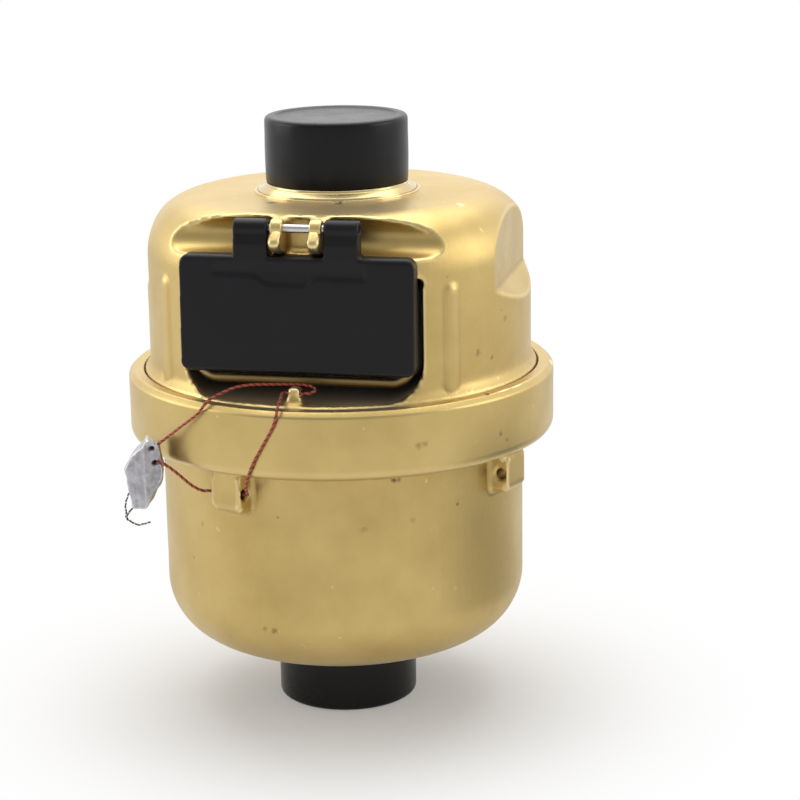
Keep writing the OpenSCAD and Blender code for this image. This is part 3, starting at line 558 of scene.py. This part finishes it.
def drawn_metal(name, dark, light, rough, stretch):
    """Bare drawn or sintered metal with streaks along X."""
    material, tree, shader = new_material(name, Metallic=1.0)
    spot = add(tree, "ShaderNodeTexCoord").outputs["Object"]
    lines = add(tree, "ShaderNodeMapping", {"Scale": (1 / stretch, 1.0, 1.0)})
    tree.links.new(spot, lines.inputs["Vector"])
    streak = noise_value(tree, lines.outputs["Vector"], 2400.0, 4.0)
    tree.links.new(blend_colours(tree, streak, dark, light), shader.inputs["Base Color"])
    tree.links.new(ramp(tree, streak, 0.3, 0.7, rough - 0.06, rough + 0.08), shader.inputs["Roughness"])
    bump(tree, shader, streak, 0.004)
    return material


def lead_metal():
    """Dull crushed lead with tool marks and grey bloom, painted highlights on its edges, and painted shade in
    its folds and wire holes.
    """
    material, tree, shader = new_material("crushed lead", Metallic=0.75)
    skin = skin_node(tree, cloud=320.0, grain=2200.0, holes=420.0)
    edges = add(tree, "ShaderNodeGroup", node_tree=EDGES)
    tone = blend_colours(tree, skin.outputs["Cloud"], (0.36, 0.35, 0.375), (0.62, 0.605, 0.63))
    # Painted highlight: outer edges are painted pale
    wear_and_highlight = math_node(tree, "MULTIPLY", edges.outputs["Edge"], 0.9)
    tone = blend_colours(tree, wear_and_highlight, tone, (0.82, 0.81, 0.82))
    # Painted shade: the folds' inner corners and the wire holes are painted near black
    holes = edges.outputs["Corner"]
    for place in LEAD_HOLES:
        pit = add(tree, "ShaderNodeGroup", {"Radius": HOLE_SHADE_R * MM}, node_tree=PIT)
        pit.inputs["Place"].default_value = Vector(place) * MM
        holes = math_node(tree, "MAXIMUM", holes, pit.outputs["Mark"])
    tone = blend_colours(tree, holes, tone, (0.02, 0.02, 0.022))
    tree.links.new(tone, shader.inputs["Base Color"])
    tree.links.new(ramp(tree, skin.outputs["Cloud"], 0.0, 1.0, 0.46, 0.34), shader.inputs["Roughness"])
    bump(tree, shader, skin.outputs["Grain"], 0.03)
    return material


def clear_glass():
    """Clear window with a faint haze of dust in its gloss."""
    material, tree, shader = new_material(
        "window glass", Base_Color=(0.97, 0.99, 0.985, 1), Transmission_Weight=1.0, IOR=1.49)
    skin = skin_node(tree, cloud=160.0, grain=1500.0, holes=200.0)
    tree.links.new(ramp(tree, skin.outputs["Cloud"], 0.2, 1.0, 0.02, 0.07), shader.inputs["Roughness"])
    return material


def flat_ink(name, colour):
    """Printed ink with a slightly uneven cover."""
    material, tree, shader = new_material(name)
    skin = skin_node(tree, cloud=900.0, grain=5000.0, holes=300.0)
    wear_and_highlight = tuple(c * 0.8 + 0.03 for c in colour)
    tree.links.new(blend_colours(tree, skin.outputs["Cloud"], wear_and_highlight, colour), shader.inputs["Base Color"])
    tree.links.new(ramp(tree, skin.outputs["Grain"], 0.3, 0.7, 0.4, 0.55), shader.inputs["Roughness"])
    return material


# Finishes. Brass has its dark and light tones, the pale tone of its painted edge highlights and flecks, its
# roughness and the depth of its grain in mm.
CAST_BRASS = brass(
    "cast brass", (0.575, 0.415, 0.150), (0.665, 0.495, 0.195), (0.92, 0.73, 0.36), 0.40, 0.030)
TURNED_BRASS = brass(
    "turned brass", (0.585, 0.425, 0.155), (0.675, 0.505, 0.200), (0.95, 0.76, 0.38), 0.36, 0.020)
POLISHED_BRASS = brass(
    "polished brass", (0.62, 0.48, 0.22), (0.70, 0.55, 0.27), (0.92, 0.78, 0.50), 0.16, 0.006)
CAP_PLASTIC = moulded(
    "cap plastic", (0.003, 0.003, 0.0034), (0.005, 0.005, 0.0054), 0.27, 0.005, Specular_IOR_Level=0.27)
LID_PLASTIC = moulded(
    "lid plastic", (0.004, 0.0036, 0.0052), (0.0065, 0.006, 0.008), 0.36, 0.006, Specular_IOR_Level=0.29)
STEEL = drawn_metal("steel", (0.52, 0.51, 0.50), (0.78, 0.77, 0.76), 0.24, 9.0)
LEAD = lead_metal()
RED_COVER = moulded("red wire cover", (0.38, 0.058, 0.026), (0.47, 0.090, 0.040), 0.40, 0.006)
BLACK_COVER = moulded("black wire cover", (0.016, 0.014, 0.014), (0.03, 0.025, 0.022), 0.42, 0.006)
RUBBER = moulded("seal rubber", (0.014, 0.014, 0.014), (0.022, 0.022, 0.022), 0.6, 0.010)
WHITE_PLASTIC = moulded("white plastic", (0.70, 0.70, 0.67), (0.78, 0.78, 0.75), 0.45, 0.008)
CHAMBER_PLASTIC = moulded("chamber plastic", (0.62, 0.59, 0.50), (0.72, 0.69, 0.60), 0.48, 0.008)
GRAPHITE_PLASTIC = moulded("graphite plastic", (0.055, 0.055, 0.06), (0.08, 0.08, 0.085), 0.40, 0.006)
MAGNET = drawn_metal("magnet", (0.05, 0.05, 0.055), (0.10, 0.10, 0.11), 0.5, 1.0)
# Painted shade: the can's copper tones are darkened for the shade that it lies in under the lid
SHADED_COPPER_CAN = brass("copper can", (0.29, 0.20, 0.085), (0.36, 0.255, 0.11), (0.46, 0.34, 0.16), 0.46, 0.006)
WINDOW_GLASS = clear_glass()
DIAL_PAINT = moulded("dial paint", (0.80, 0.80, 0.77), (0.86, 0.86, 0.84), 0.38, 0.004)
GEAR_PLASTIC = moulded("gear plastic", (0.62, 0.52, 0.33), (0.72, 0.62, 0.42), 0.45, 0.006)
ROLLER_RED = moulded("roller red", (0.42, 0.04, 0.032), (0.50, 0.055, 0.045), 0.42, 0.006)
ROLLER_BLACK = moulded("roller black", (0.016, 0.016, 0.018), (0.024, 0.024, 0.027), 0.42, 0.006)
WHITE_INK = flat_ink("white ink", (0.82, 0.82, 0.80))
BLACK_INK = flat_ink("black ink", (0.025, 0.025, 0.028))
RED_INK = flat_ink("red ink", (0.46, 0.05, 0.04))


# Seal wire and lead


def twisted_wire(name, lines, strands, *covers):
    """Mesh of two strands, (radius, distance) each, twisted together along every line."""
    bm = bmesh.new()
    for line in lines:
        for number, (radius, apart) in enumerate(strands):
            tube = sweep(twisted(line, STRAND_PITCH * MM, apart * MM, number * math.pi), radius * MM)
            for polygon in tube.polygons:
                polygon.material_index = number
            bm.from_mesh(tube)
    return show(name, bm, *covers)


def make_lead():
    """Crushed lead seal with a ridge down its front, dents and two holes where the wire leaves."""
    turn = Matrix.Rotation(math.radians(SEAL_TURN), 3, "Z")
    bm = soft_copy("lead_seal", grid=0.2, passes=2, reach=0.2)
    outward = turn @ Vector((0, -1, 0))
    for vert in bm.verts:
        spot = vert.co / MM
        across = (turn.inverted() @ (spot - SEAL_AT)).x
        facing = max(0.0, vert.normal.dot(outward))
        rise = RIDGE_H * max(0.0, 1 - abs(across - RIDGE_U) / RIDGE_W) * facing
        for hole in LEAD_HOLES:
            rise -= HOLE_DEPTH * max(0.0, 1 - ((spot - Vector(hole)).length / HOLE_R) ** 2) * facing
        vert.co += outward * rise * MM
    bm.normal_update()
    for size, height in LEAD_DENTS:
        roughen(bm, size, height)
    return dress(show("crushed_lead_seal", bm, LEAD), "meter", "lead", "lead_seal")


def make_seal():
    """Red and black wire twisted along the seal's route, its loose ends and the crushed lead."""
    line = smooth_route([Vector(p) * MM for p in WIRE_ROUTE], WIRE_STEPS)
    wire = twisted_wire("twisted_seal_wire", [line], WIRE_STRANDS, RED_COVER, BLACK_COVER)
    dress(wire, "meter", "wire_cover", "seal_wire")
    turn = Matrix.Rotation(math.radians(SEAL_TURN), 3, "Z")
    ends = [[(SEAL_AT + turn @ Vector((u, END_Y, z))) * MM for u, z in route] for route in END_ROUTES]
    ends = [smooth_route(route, END_STEPS) for route in ends]
    tail = twisted_wire("seal_wire_ends", ends, END_STRANDS, BLACK_COVER, STEEL)
    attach(tail, "meter")
    make_lead()


# Brass castings and ring


def cast_copy(node):
    """Worn, slightly uneven copy of a casting, with its hidden walls thinned."""
    bm = thin_hidden(soft_copy(node, grid=0.52, passes=5, reach=0.6), CASTING_FACES)
    roughen(bm, size=9.0, height=0.05)
    return bm


def draw_in(vert, radius):
    """Moves a point of a port's neck from its radius, in mm, to just under the thread."""
    shrink = NECK_R / radius
    vert.co.x *= shrink
    vert.co.y *= shrink


def make_upper_body():
    """Dome casting with worn edges. Its neck and top lie just under the turned pieces of the outlet."""
    bm = cast_copy("upper_body")
    for vert in bm.verts:
        radius = math.hypot(vert.co.x, vert.co.y) / MM
        if vert.co.z / MM <= DOME_Z - 0.1:
            continue
        if FOOT_FROM < radius < FOOT_TO:
            vert.co.z = DOME_Z * MM
        elif NECK_FROM < radius < COLLAR_R:
            draw_in(vert, radius)
    dress(show("cast_upper_body", bm, CAST_BRASS), "meter", "cast_brass", "upper_body")


def make_collar():
    """Bright turned foot of the outlet: a raised land with a groove, and a cone up to the cap."""
    inner = THREAD_ROOT - SLEEVE_WALL
    outline = soften([
        (inner, DOME_Z - 0.8, 0), (LAND_R, DOME_Z - 0.8, 0), (LAND_R, LAND_Z, 0.14),
        (LAND_R - 0.35, LAND_Z, 0.06), (LAND_R - 0.5, LAND_Z - 0.3, 0.06),
        (LAND_R - 0.65, LAND_Z - 0.25, 0.06), (LAND_R - 0.7, LAND_Z + 0.25, 0.15),
        (CAP_R + 0.2, COLLAR_TOP - 0.45, 0.15), (CAP_R, COLLAR_TOP, 0.12),
        (THREAD_R + 0.1, COLLAR_TOP, 0.1), (THREAD_ROOT, COLLAR_TOP + 0.6, 0), (inner, COLLAR_TOP + 0.6, 0),
    ])
    bm = lathe(outline, 256)
    for vert in bm.verts:
        nick = max(0.0, 1 - abs(vert.co.x / MM - NICK_X) / NICK_W) if vert.co.y < 0 else 0.0
        if vert.co.z > DOME_Z * MM and math.hypot(vert.co.x, vert.co.y) > (LAND_R - NICK_RIM) * MM:
            vert.co.z -= NICK_DEPTH * MM * nick
    dress(show("outlet_collar", bm, POLISHED_BRASS, sharp=50), "meter", "turned_brass", "upper_body")


def make_thread(name, node, low, high, tip):
    """Pipe thread between two heights in mm, with a tapered first turn at its port face, the tip."""
    rows = round((high - low) / THREAD_PITCH * 10)
    inner = THREAD_ROOT - SLEEVE_WALL
    outer = [(THREAD_R, low + (high - low) * i / rows) for i in range(rows + 1)]
    bm = lathe([(inner, low), *outer, (inner, high)], 120)
    for vert in bm.verts:
        radius = math.hypot(vert.co.x, vert.co.y) / MM
        if radius < THREAD_R - 0.01:
            continue
        height = vert.co.z / MM
        angle = math.atan2(vert.co.y, vert.co.x) / (2 * math.pi)
        wave = abs(((height / THREAD_PITCH - angle) % 1) * 2 - 1)
        # Straight flanks, with narrow flats at the crest and the root
        depth = THREAD_DEPTH * min(1.0, max(0.0, 1.25 * wave - 0.12))
        taper = max(0.0, 1 - abs(height - tip) / THREAD_TAPER)
        target = (THREAD_R - max(depth, taper)) / radius
        vert.co.x *= target
        vert.co.y *= target
    dress(show(name, bm, TURNED_BRASS, sharp=60), "meter", "turned_brass", node)


def make_lower_body():
    """Pot casting with its seal lugs and worn edges. Its inlet's neck lies just under the thread."""
    bm = cast_copy("lower_body")
    for vert in bm.verts:
        radius = math.hypot(vert.co.x, vert.co.y) / MM
        if vert.co.z / MM < POT_Z - 0.4 and radius > NECK_FROM:
            draw_in(vert, radius)
    dress(show("cast_lower_body", bm, CAST_BRASS), "meter", "cast_brass", "lower_body")


# Clamp ring: its wall, the width and depth of its lip, its round lower edge and its upper bevel, in mm
RING_WALL = 1.7
RING_LIP = 3
RING_LIP_H = 2
RING_ROUND = 2.4
RING_BEVEL = 1


def make_ring():
    """Turned clamp ring with a bright bevel above and a round lower edge."""
    outer = RING_HIGH.x / MM
    low, high = RING_LOW.z / MM, RING_HIGH.z / MM
    bore, lip, lip_low = outer - RING_WALL, outer - RING_LIP, high - RING_LIP_H
    outline = soften([
        (bore, low, 0.3), (outer - 2.5, low, 0), (outer, low, RING_ROUND), (outer, high - RING_BEVEL, 0.35),
        (outer - RING_BEVEL, high, 0.35), (lip, high, 0.3), (lip, lip_low, 0.2), (bore, lip_low, 0),
    ], 8)
    bm = lathe(outline, 256)
    dress(show("turned_clamp_ring", bm, TURNED_BRASS, sharp=50), "meter", "turned_brass", "clamp_ring")


# Caps, lid and hinge

# Dust caps: play on the thread, thickness of the end, depth of its dish and bulge of the skirt, in mm
CAP_PLAY = 0.05
CAP_END = 1.5
CAP_DISH = 0.3
CAP_BULGE = 0.12

# Ledge across the lid's face: its height at the middle and slope, the step and its softness, its ends from
# the lid's two sides, and the height near which it fades out and over what length, in mm
LEDGE_Z = 92.4
LEDGE_SLOPE = 0.02
LEDGE_STEP = 0.3
LEDGE_SOFT = 0.12
LEDGE_LEFT = 6.2
LEDGE_RIGHT = 8.6
LEDGE_TOP = 94.5
LEDGE_FADE = 2.0

# Dip of the ledge between the ears: its two sides, depth and softness, in mm
DIP_FROM = -6.6
DIP_TO = 2.6
DIP_DEPTH = 1.4
DIP_SOFT = 0.8

# Depth of the lid's front that counts as its face, in mm
LID_FACE = 1.3

# Hinge pin's round ends, and the cheeks beside the slot: radius, nearest and farthest place, round, in mm
PIN_ROUND = 0.3
CHEEK_R = 1.75
CHEEK_NEAR = 2.55
CHEEK_FAR = 4.85
CHEEK_ROUND = 0.4


def make_cap(name, node, body, closed_z, sign):
    """Dust cap with a softly rounded end, a shallow dish and a thin skirt that opens away from closed_z."""
    deep = (CAP_HIGH.z - CAP_LOW.z) / MM
    bore = THREAD_R + CAP_PLAY
    heights = (0.8, 0.6, 0.4, 0.2, 0.02)
    belly = [(CAP_R - CAP_BULGE * (2 * t - 1) ** 2, -deep + (deep - 1.1) * t, 0) for t in heights]
    half = soften([
        (0, -CAP_DISH, 0), (bore - 1.9, -CAP_DISH, 0.3), (bore - 1.3, 0, 0.35), (CAP_R - 0.05, 0, 0.95),
        *belly, (CAP_R - 0.15, -deep, 0.12), (bore, -deep, 0.12), (bore, -CAP_END, 0.3), (0, -CAP_END, 0),
    ], 7)
    bm = lathe([(r, closed_z + sign * z) for r, z in half], 160)
    dress(show(name, bm, CAP_PLASTIC, sharp=60), body, "cap_plastic", node)


def make_lid():
    """Moulded lid with soft edges and a short ledge on its face, with a dip between the ears."""
    bm = soft_copy("lid", grid=0.26, passes=4, reach=0.4)
    face = LID_LOW.y + LID_FACE * MM
    left, right = LID_LOW.x / MM + LEDGE_LEFT, LID_HIGH.x / MM - LEDGE_RIGHT
    for vert in bm.verts:
        if vert.co.y < face and vert.normal.y < -0.8:
            x, z = vert.co.x / MM, vert.co.z / MM
            dip = 0.5 * (math.tanh((x - DIP_FROM) / DIP_SOFT) - math.tanh((x - DIP_TO) / DIP_SOFT))
            step = z - (LEDGE_Z - DIP_DEPTH * dip - LEDGE_SLOPE * x)
            under = max(0.0, min(1.0, 0.5 + (LEDGE_TOP - z) / LEDGE_FADE))
            within = max(0.0, min(1.0, x - left, right - x))
            vert.co.y += LEDGE_STEP * MM / (1 + math.exp(-step / LEDGE_SOFT)) * under * within
    bm.normal_update()
    dress(show("moulded_lid", bm, LID_PLASTIC), "lid", "lid_plastic", "lid")


def hinge_rod(bm, x0, x1, radius, round_off):
    """Adds a rod with rounded ends on the hinge axis, between two places along X in metres."""
    axis = (PIN_LOW + PIN_HIGH) / 2
    place = Matrix.Translation(((x0 + x1) / 2, axis.y, axis.z)) @ Matrix.Rotation(math.pi / 2, 4, "Y")
    made = bmesh.ops.create_cone(
        bm, cap_ends=True, segments=48, radius1=radius, radius2=radius, depth=x1 - x0, matrix=place)["verts"]
    rims = [e for e in bm.edges if all(v in made for v in e.verts) and
            abs(e.verts[0].co.x - e.verts[1].co.x) < 1e-6]
    bmesh.ops.bevel(
        bm, geom=rims, offset=round_off, affect="EDGES", segments=4, profile=0.5, material=-1)


def make_pin():
    """Steel hinge pin, and the round brass cheeks that hold it beside the slot."""
    bm = bmesh.new()
    hinge_rod(bm, PIN_LOW.x, PIN_HIGH.x, (PIN_HIGH.z - PIN_LOW.z) / 2, PIN_ROUND * MM)
    dress(show("steel_hinge_pin", bm, STEEL, sharp=50), "meter", "steel", "hinge_pin")
    bm = bmesh.new()
    for x0, x1 in ((-CHEEK_FAR, -CHEEK_NEAR), (CHEEK_NEAR, CHEEK_FAR)):
        hinge_rod(bm, x0 * MM, x1 * MM, CHEEK_R * MM, CHEEK_ROUND * MM)
    dress(show("hinge_cheeks", bm, CAST_BRASS, sharp=50), "meter", "cast_brass", "upper_body")


# Counter

# Number rollers: the reading, and how many rollers at its right are red
READING = "00000057"
RED_ROLLERS = 3

# Figures: height, type size for each mm of height, cuts in each half, and middle from a roller's left, in mm
DIGIT_H = 2.9
TYPE_SIZE = 1.36
DIGIT_CUTS = 6
DIGIT_MIDDLE = 1.55

# Ink: half the thickness of a figure, and how far print stands off what it is printed on, in mm
INK_HALF = 0.02
INK_RISE = 0.03

# Frame lines on the dial: name, left and right end, and ink, and their height, middle and width, in mm
DIAL_LINES = (("dial_line_whole", -17.6, 4.1, BLACK_INK), ("dial_line_parts", 4.4, 17.3, RED_INK))
DIAL_LINE_H = 5.4
DIAL_LINE_Z = 82
DIAL_LINE_W = 0.35


def make_can():
    """Drawn can of the counter, its edges rolled round."""
    bm = soft_copy("register_can", grid=0.45, passes=3, reach=0.5)
    dress(show("drawn_counter_can", bm, SHADED_COPPER_CAN), "meter", "copper_can", "register_can")


def digit(text):
    """Flat mesh of one figure, centred, in metres, cut across so that it bends."""
    figure = bpy.data.curves.new("figure", "FONT")
    figure.body = text
    figure.size = DIGIT_H * TYPE_SIZE * MM
    figure.align_x = "CENTER"
    figure.align_y = "CENTER"
    figure.extrude = INK_HALF * MM
    bm = bmesh.new()
    bm.from_mesh(evaluated_mesh(bpy.data.objects.new("figure", figure)))
    for cut in range(-DIGIT_CUTS, DIGIT_CUTS + 1):
        bmesh.ops.bisect_plane(
            bm, geom=bm.verts[:] + bm.edges[:] + bm.faces[:],
            plane_co=(0, cut * DIGIT_H / (2 * DIGIT_CUTS) * MM, 0), plane_no=(0, 1, 0))
    mesh = bpy.data.meshes.new("figure")
    bm.to_mesh(mesh)
    bm.free()
    return mesh


DIGITS = [digit(str(value)) for value in range(10)]


def make_figures(number):
    """Ten figures printed round a number roller. They ride on it and come up from below as it turns."""
    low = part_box(f"number_roller_{number}")[0]
    axis = next(Vector(j["pos_m"]) for j in frame["joints"] if j["name"] == f"roller_{number}_spin")
    radius = axis.y - low.y
    middle = low.x + DIGIT_MIDDLE * MM
    shown = int(READING[-number])
    bm = bmesh.new()
    for k in range(10):
        before = len(bm.verts)
        bm.from_mesh(DIGITS[(shown + k) % 10])
        bm.verts.ensure_lookup_table()
        for vert in bm.verts[before:]:
            x, y, lift = vert.co
            turn = y / radius - k * math.pi / 5
            reach = radius + INK_RISE * MM + lift
            vert.co = (middle + x, axis.y - reach * math.cos(turn), axis.z + reach * math.sin(turn))
    piece = show(f"figures_{number}", bm, WHITE_INK, sharp=30)
    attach(piece, f"roller_{number}")


def make_dial_print():
    """Frame lines printed round the reading slot, black round the whole units and red round the parts."""
    for name, x0, x1, material in DIAL_LINES:
        bm = bmesh.new()
        bmesh.ops.create_grid(bm, x_segments=1, y_segments=1, size=0.5)
        size = Matrix.Diagonal(((x1 - x0) * MM, DIAL_LINE_H * MM, 1, 1))
        bmesh.ops.transform(bm, matrix=size, verts=bm.verts)
        rim = bmesh.ops.inset_region(
            bm, faces=bm.faces[:], thickness=DIAL_LINE_W * MM, use_boundary=True,
            use_even_offset=True)["faces"]
        bmesh.ops.delete(bm, geom=[f for f in bm.faces if f not in rim], context="FACES_ONLY")
        top = bmesh.ops.extrude_face_region(bm, geom=bm.faces[:])["geom"]
        raised = [v for v in top if isinstance(v, bmesh.types.BMVert)]
        bmesh.ops.translate(bm, vec=(0, 0, INK_RISE * MM), verts=raised)
        bmesh.ops.recalc_face_normals(bm, faces=bm.faces)
        middle = Matrix.Translation(((x0 + x1) / 2 * MM, DIAL_FACE, DIAL_LINE_Z * MM))
        bmesh.ops.transform(bm, matrix=middle @ Matrix.Rotation(math.pi / 2, 4, "X"), verts=bm.verts)
        piece = show(name, bm, material, sharp=30)
        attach(piece, "meter")


PLAIN_NODES = {
    "body_seal": RUBBER, "outlet_seal": RUBBER, "strainer": WHITE_PLASTIC, "register_frame": WHITE_PLASTIC,
    "drive_carrier": WHITE_PLASTIC, "chamber_body": CHAMBER_PLASTIC, "chamber_cover": CHAMBER_PLASTIC,
    "partition_plate": STEEL, "piston": GRAPHITE_PLASTIC, "drive_magnet": MAGNET, "follower_magnet": MAGNET,
    "register_window": WINDOW_GLASS, "dial_plate": DIAL_PAINT, "input_spindle": STEEL,
    "cross_shaft": GEAR_PLASTIC, "idler_gear": GEAR_PLASTIC, "roller_shaft": STEEL,
}


def finish_nodes():
    """Gives each solid that is shown as it is its own finish."""
    for number in range(1, len(READING) + 1):
        PLAIN_NODES[f"number_roller_{number}"] = ROLLER_RED if number <= RED_ROLLERS else ROLLER_BLACK
    for name, material in PLAIN_NODES.items():
        mesh = nodes[name].data
        mesh.materials.clear()
        mesh.materials.append(material)


# Floor and light

# Floor: half its width, and the distances in metres between which it fades from its first glow to white
FLOOR_SIZE = 3.0
FLOOR_NEAR = 0.02
FLOOR_FAR = 0.095
FLOOR_GLOW = 0.2
FLOOR_COLOUR = (0.88, 0.875, 0.865, 1)

# Dimmer place of the floor at the right that only shows as a soft mirror image in the brass, in metres
DIM_AT = (0.15, 0.03, 0.0)
DIM_CORE = 0.03
DIM_R = 0.10
DIM_LEVEL = 0.15
FLOOR_MIRROR = 0.88

# Surround: its light on the meter, and its level in mirror images from the front round to the back
SURROUND_LIGHT = 0.5
FRONT_Y, FRONT_LEVEL = -0.75, 0.45
BACK_Y, BACK_LEVEL = 0.55, 1.16

# Soft boxes: place and size in metres, and power in watts. All face one point of the meter.
LAMP_AIM = Vector((0, 0, 0.06))
LAMPS = {
    "top_box": ((-0.06, 0.20, 0.64), 0.7, 2.7),
    "left_box": ((-0.60, -0.10, 0.28), 0.45, 1.1),
    "right_box": ((0.62, 0.05, 0.30), 0.4, 0.8),
}


def plain_ray(tree):
    """1 for a ray that looks at the stage: from the camera, a mirror or through glass."""
    path = add(tree, "ShaderNodeLightPath")
    seen = math_node(tree, "MAXIMUM", path.outputs["Is Camera Ray"], path.outputs["Is Glossy Ray"])
    return math_node(tree, "MAXIMUM", seen, path.outputs["Is Transmission Ray"])


def make_floor():
    """Pale floor that keeps the shadow near the meter and fades into the white background."""
    material = bpy.data.materials.new("pale floor")
    material.use_nodes = True
    tree = material.node_tree
    tree.nodes.remove(tree.nodes["Principled BSDF"])
    spot = add(tree, "ShaderNodeTexCoord").outputs["Object"]
    apart = add(tree, "ShaderNodeVectorMath", operation="LENGTH")
    tree.links.new(spot, apart.inputs[0])
    fade = ramp(tree, apart.outputs["Value"], FLOOR_NEAR, FLOOR_FAR, FLOOR_GLOW, 1.0, "SMOOTHERSTEP")
    matt = add(tree, "ShaderNodeBsdfDiffuse", {"Color": FLOOR_COLOUR})
    glow = add(tree, "ShaderNodeEmission", {"Color": (1, 1, 1, 1)})
    beside = add(tree, "ShaderNodeVectorMath", operation="DISTANCE")
    tree.links.new(spot, beside.inputs[0])
    beside.inputs[1].default_value = DIM_AT
    mirrored = ramp(tree, beside.outputs["Value"], DIM_CORE, DIM_R, DIM_LEVEL, FLOOR_MIRROR)
    level = add(tree, "ShaderNodeMix", {"A": 1.0})
    tree.links.new(add(tree, "ShaderNodeLightPath").outputs["Is Glossy Ray"], level.inputs["Factor"])
    tree.links.new(mirrored, level.inputs["B"])
    tree.links.new(level.outputs[0], glow.inputs["Strength"])
    mix = add(tree, "ShaderNodeMixShader")
    tree.links.new(math_node(tree, "MULTIPLY", fade, plain_ray(tree)), mix.inputs["Fac"])
    tree.links.new(matt.outputs[0], mix.inputs[1])
    tree.links.new(glow.outputs[0], mix.inputs[2])
    tree.links.new(mix.outputs[0], tree.nodes["Material Output"].inputs["Surface"])
    bm = bmesh.new()
    bmesh.ops.create_grid(bm, x_segments=1, y_segments=1, size=FLOOR_SIZE)
    floor = show("floor", bm, material)


def make_world():
    """White surround for what is seen, and a softer one for the light."""
    world = bpy.data.worlds.new("studio")
    bpy.context.scene.world = world
    world.use_nodes = True
    tree = world.node_tree
    back = tree.nodes["Background"]
    path = add(tree, "ShaderNodeLightPath")
    way = add(tree, "ShaderNodeSeparateXYZ")
    tree.links.new(add(tree, "ShaderNodeTexCoord").outputs["Generated"], way.inputs[0])
    mirror = ramp(tree, way.outputs["Y"], FRONT_Y, BACK_Y, FRONT_LEVEL, BACK_LEVEL)
    looked_at = math_node(tree, "MAXIMUM", path.outputs["Is Camera Ray"], path.outputs["Is Transmission Ray"])
    strength = add(tree, "ShaderNodeMix")
    tree.links.new(path.outputs["Is Glossy Ray"], strength.inputs["Factor"])
    strength.inputs["A"].default_value = SURROUND_LIGHT
    tree.links.new(mirror, strength.inputs["B"])
    tree.links.new(math_node(tree, "MAXIMUM", strength.outputs[0], looked_at), back.inputs["Strength"])
    back.inputs["Color"].default_value = (1, 1, 1, 1)


def make_lamp(name, place, size, power):
    """Soft square lamp that faces the middle of the meter."""
    lamp = bpy.data.objects.new(name, bpy.data.lights.new(name, "AREA"))
    bpy.context.scene.collection.objects.link(lamp)
    lamp.data.shape = "SQUARE"
    lamp.data.size = size
    lamp.data.energy = power
    lamp.location = place
    lamp.rotation_euler = (LAMP_AIM - Vector(place)).to_track_quat("-Z", "Y").to_euler()


def make_light():
    """White surround, a large soft box above and a little behind, and a weaker one at each side."""
    make_world()
    for name, (place, size, power) in LAMPS.items():
        make_lamp(name, place, size, power)


make_camera()
make_seal()
make_upper_body()
make_collar()
make_thread("outlet_thread", "upper_body", OUTLET_THREAD_Z, OUTLET_Z, OUTLET_Z)
make_lower_body()
make_thread("inlet_thread", "lower_body", INLET_Z, INLET_THREAD_Z, INLET_Z)
make_ring()
make_cap("top_dust_cap", "top_cap", "top_cap", CAP_HIGH.z / MM, 1)
make_cap("bottom_dust_cap", "bottom_cap", "bottom_cap", 0.0, -1)
make_lid()
make_pin()
make_can()
for roller in range(1, len(READING) + 1):
    make_figures(roller)
make_dial_print()
finish_nodes()
make_floor()
make_light()
bpy.context.scene.view_settings.view_transform = "Standard"
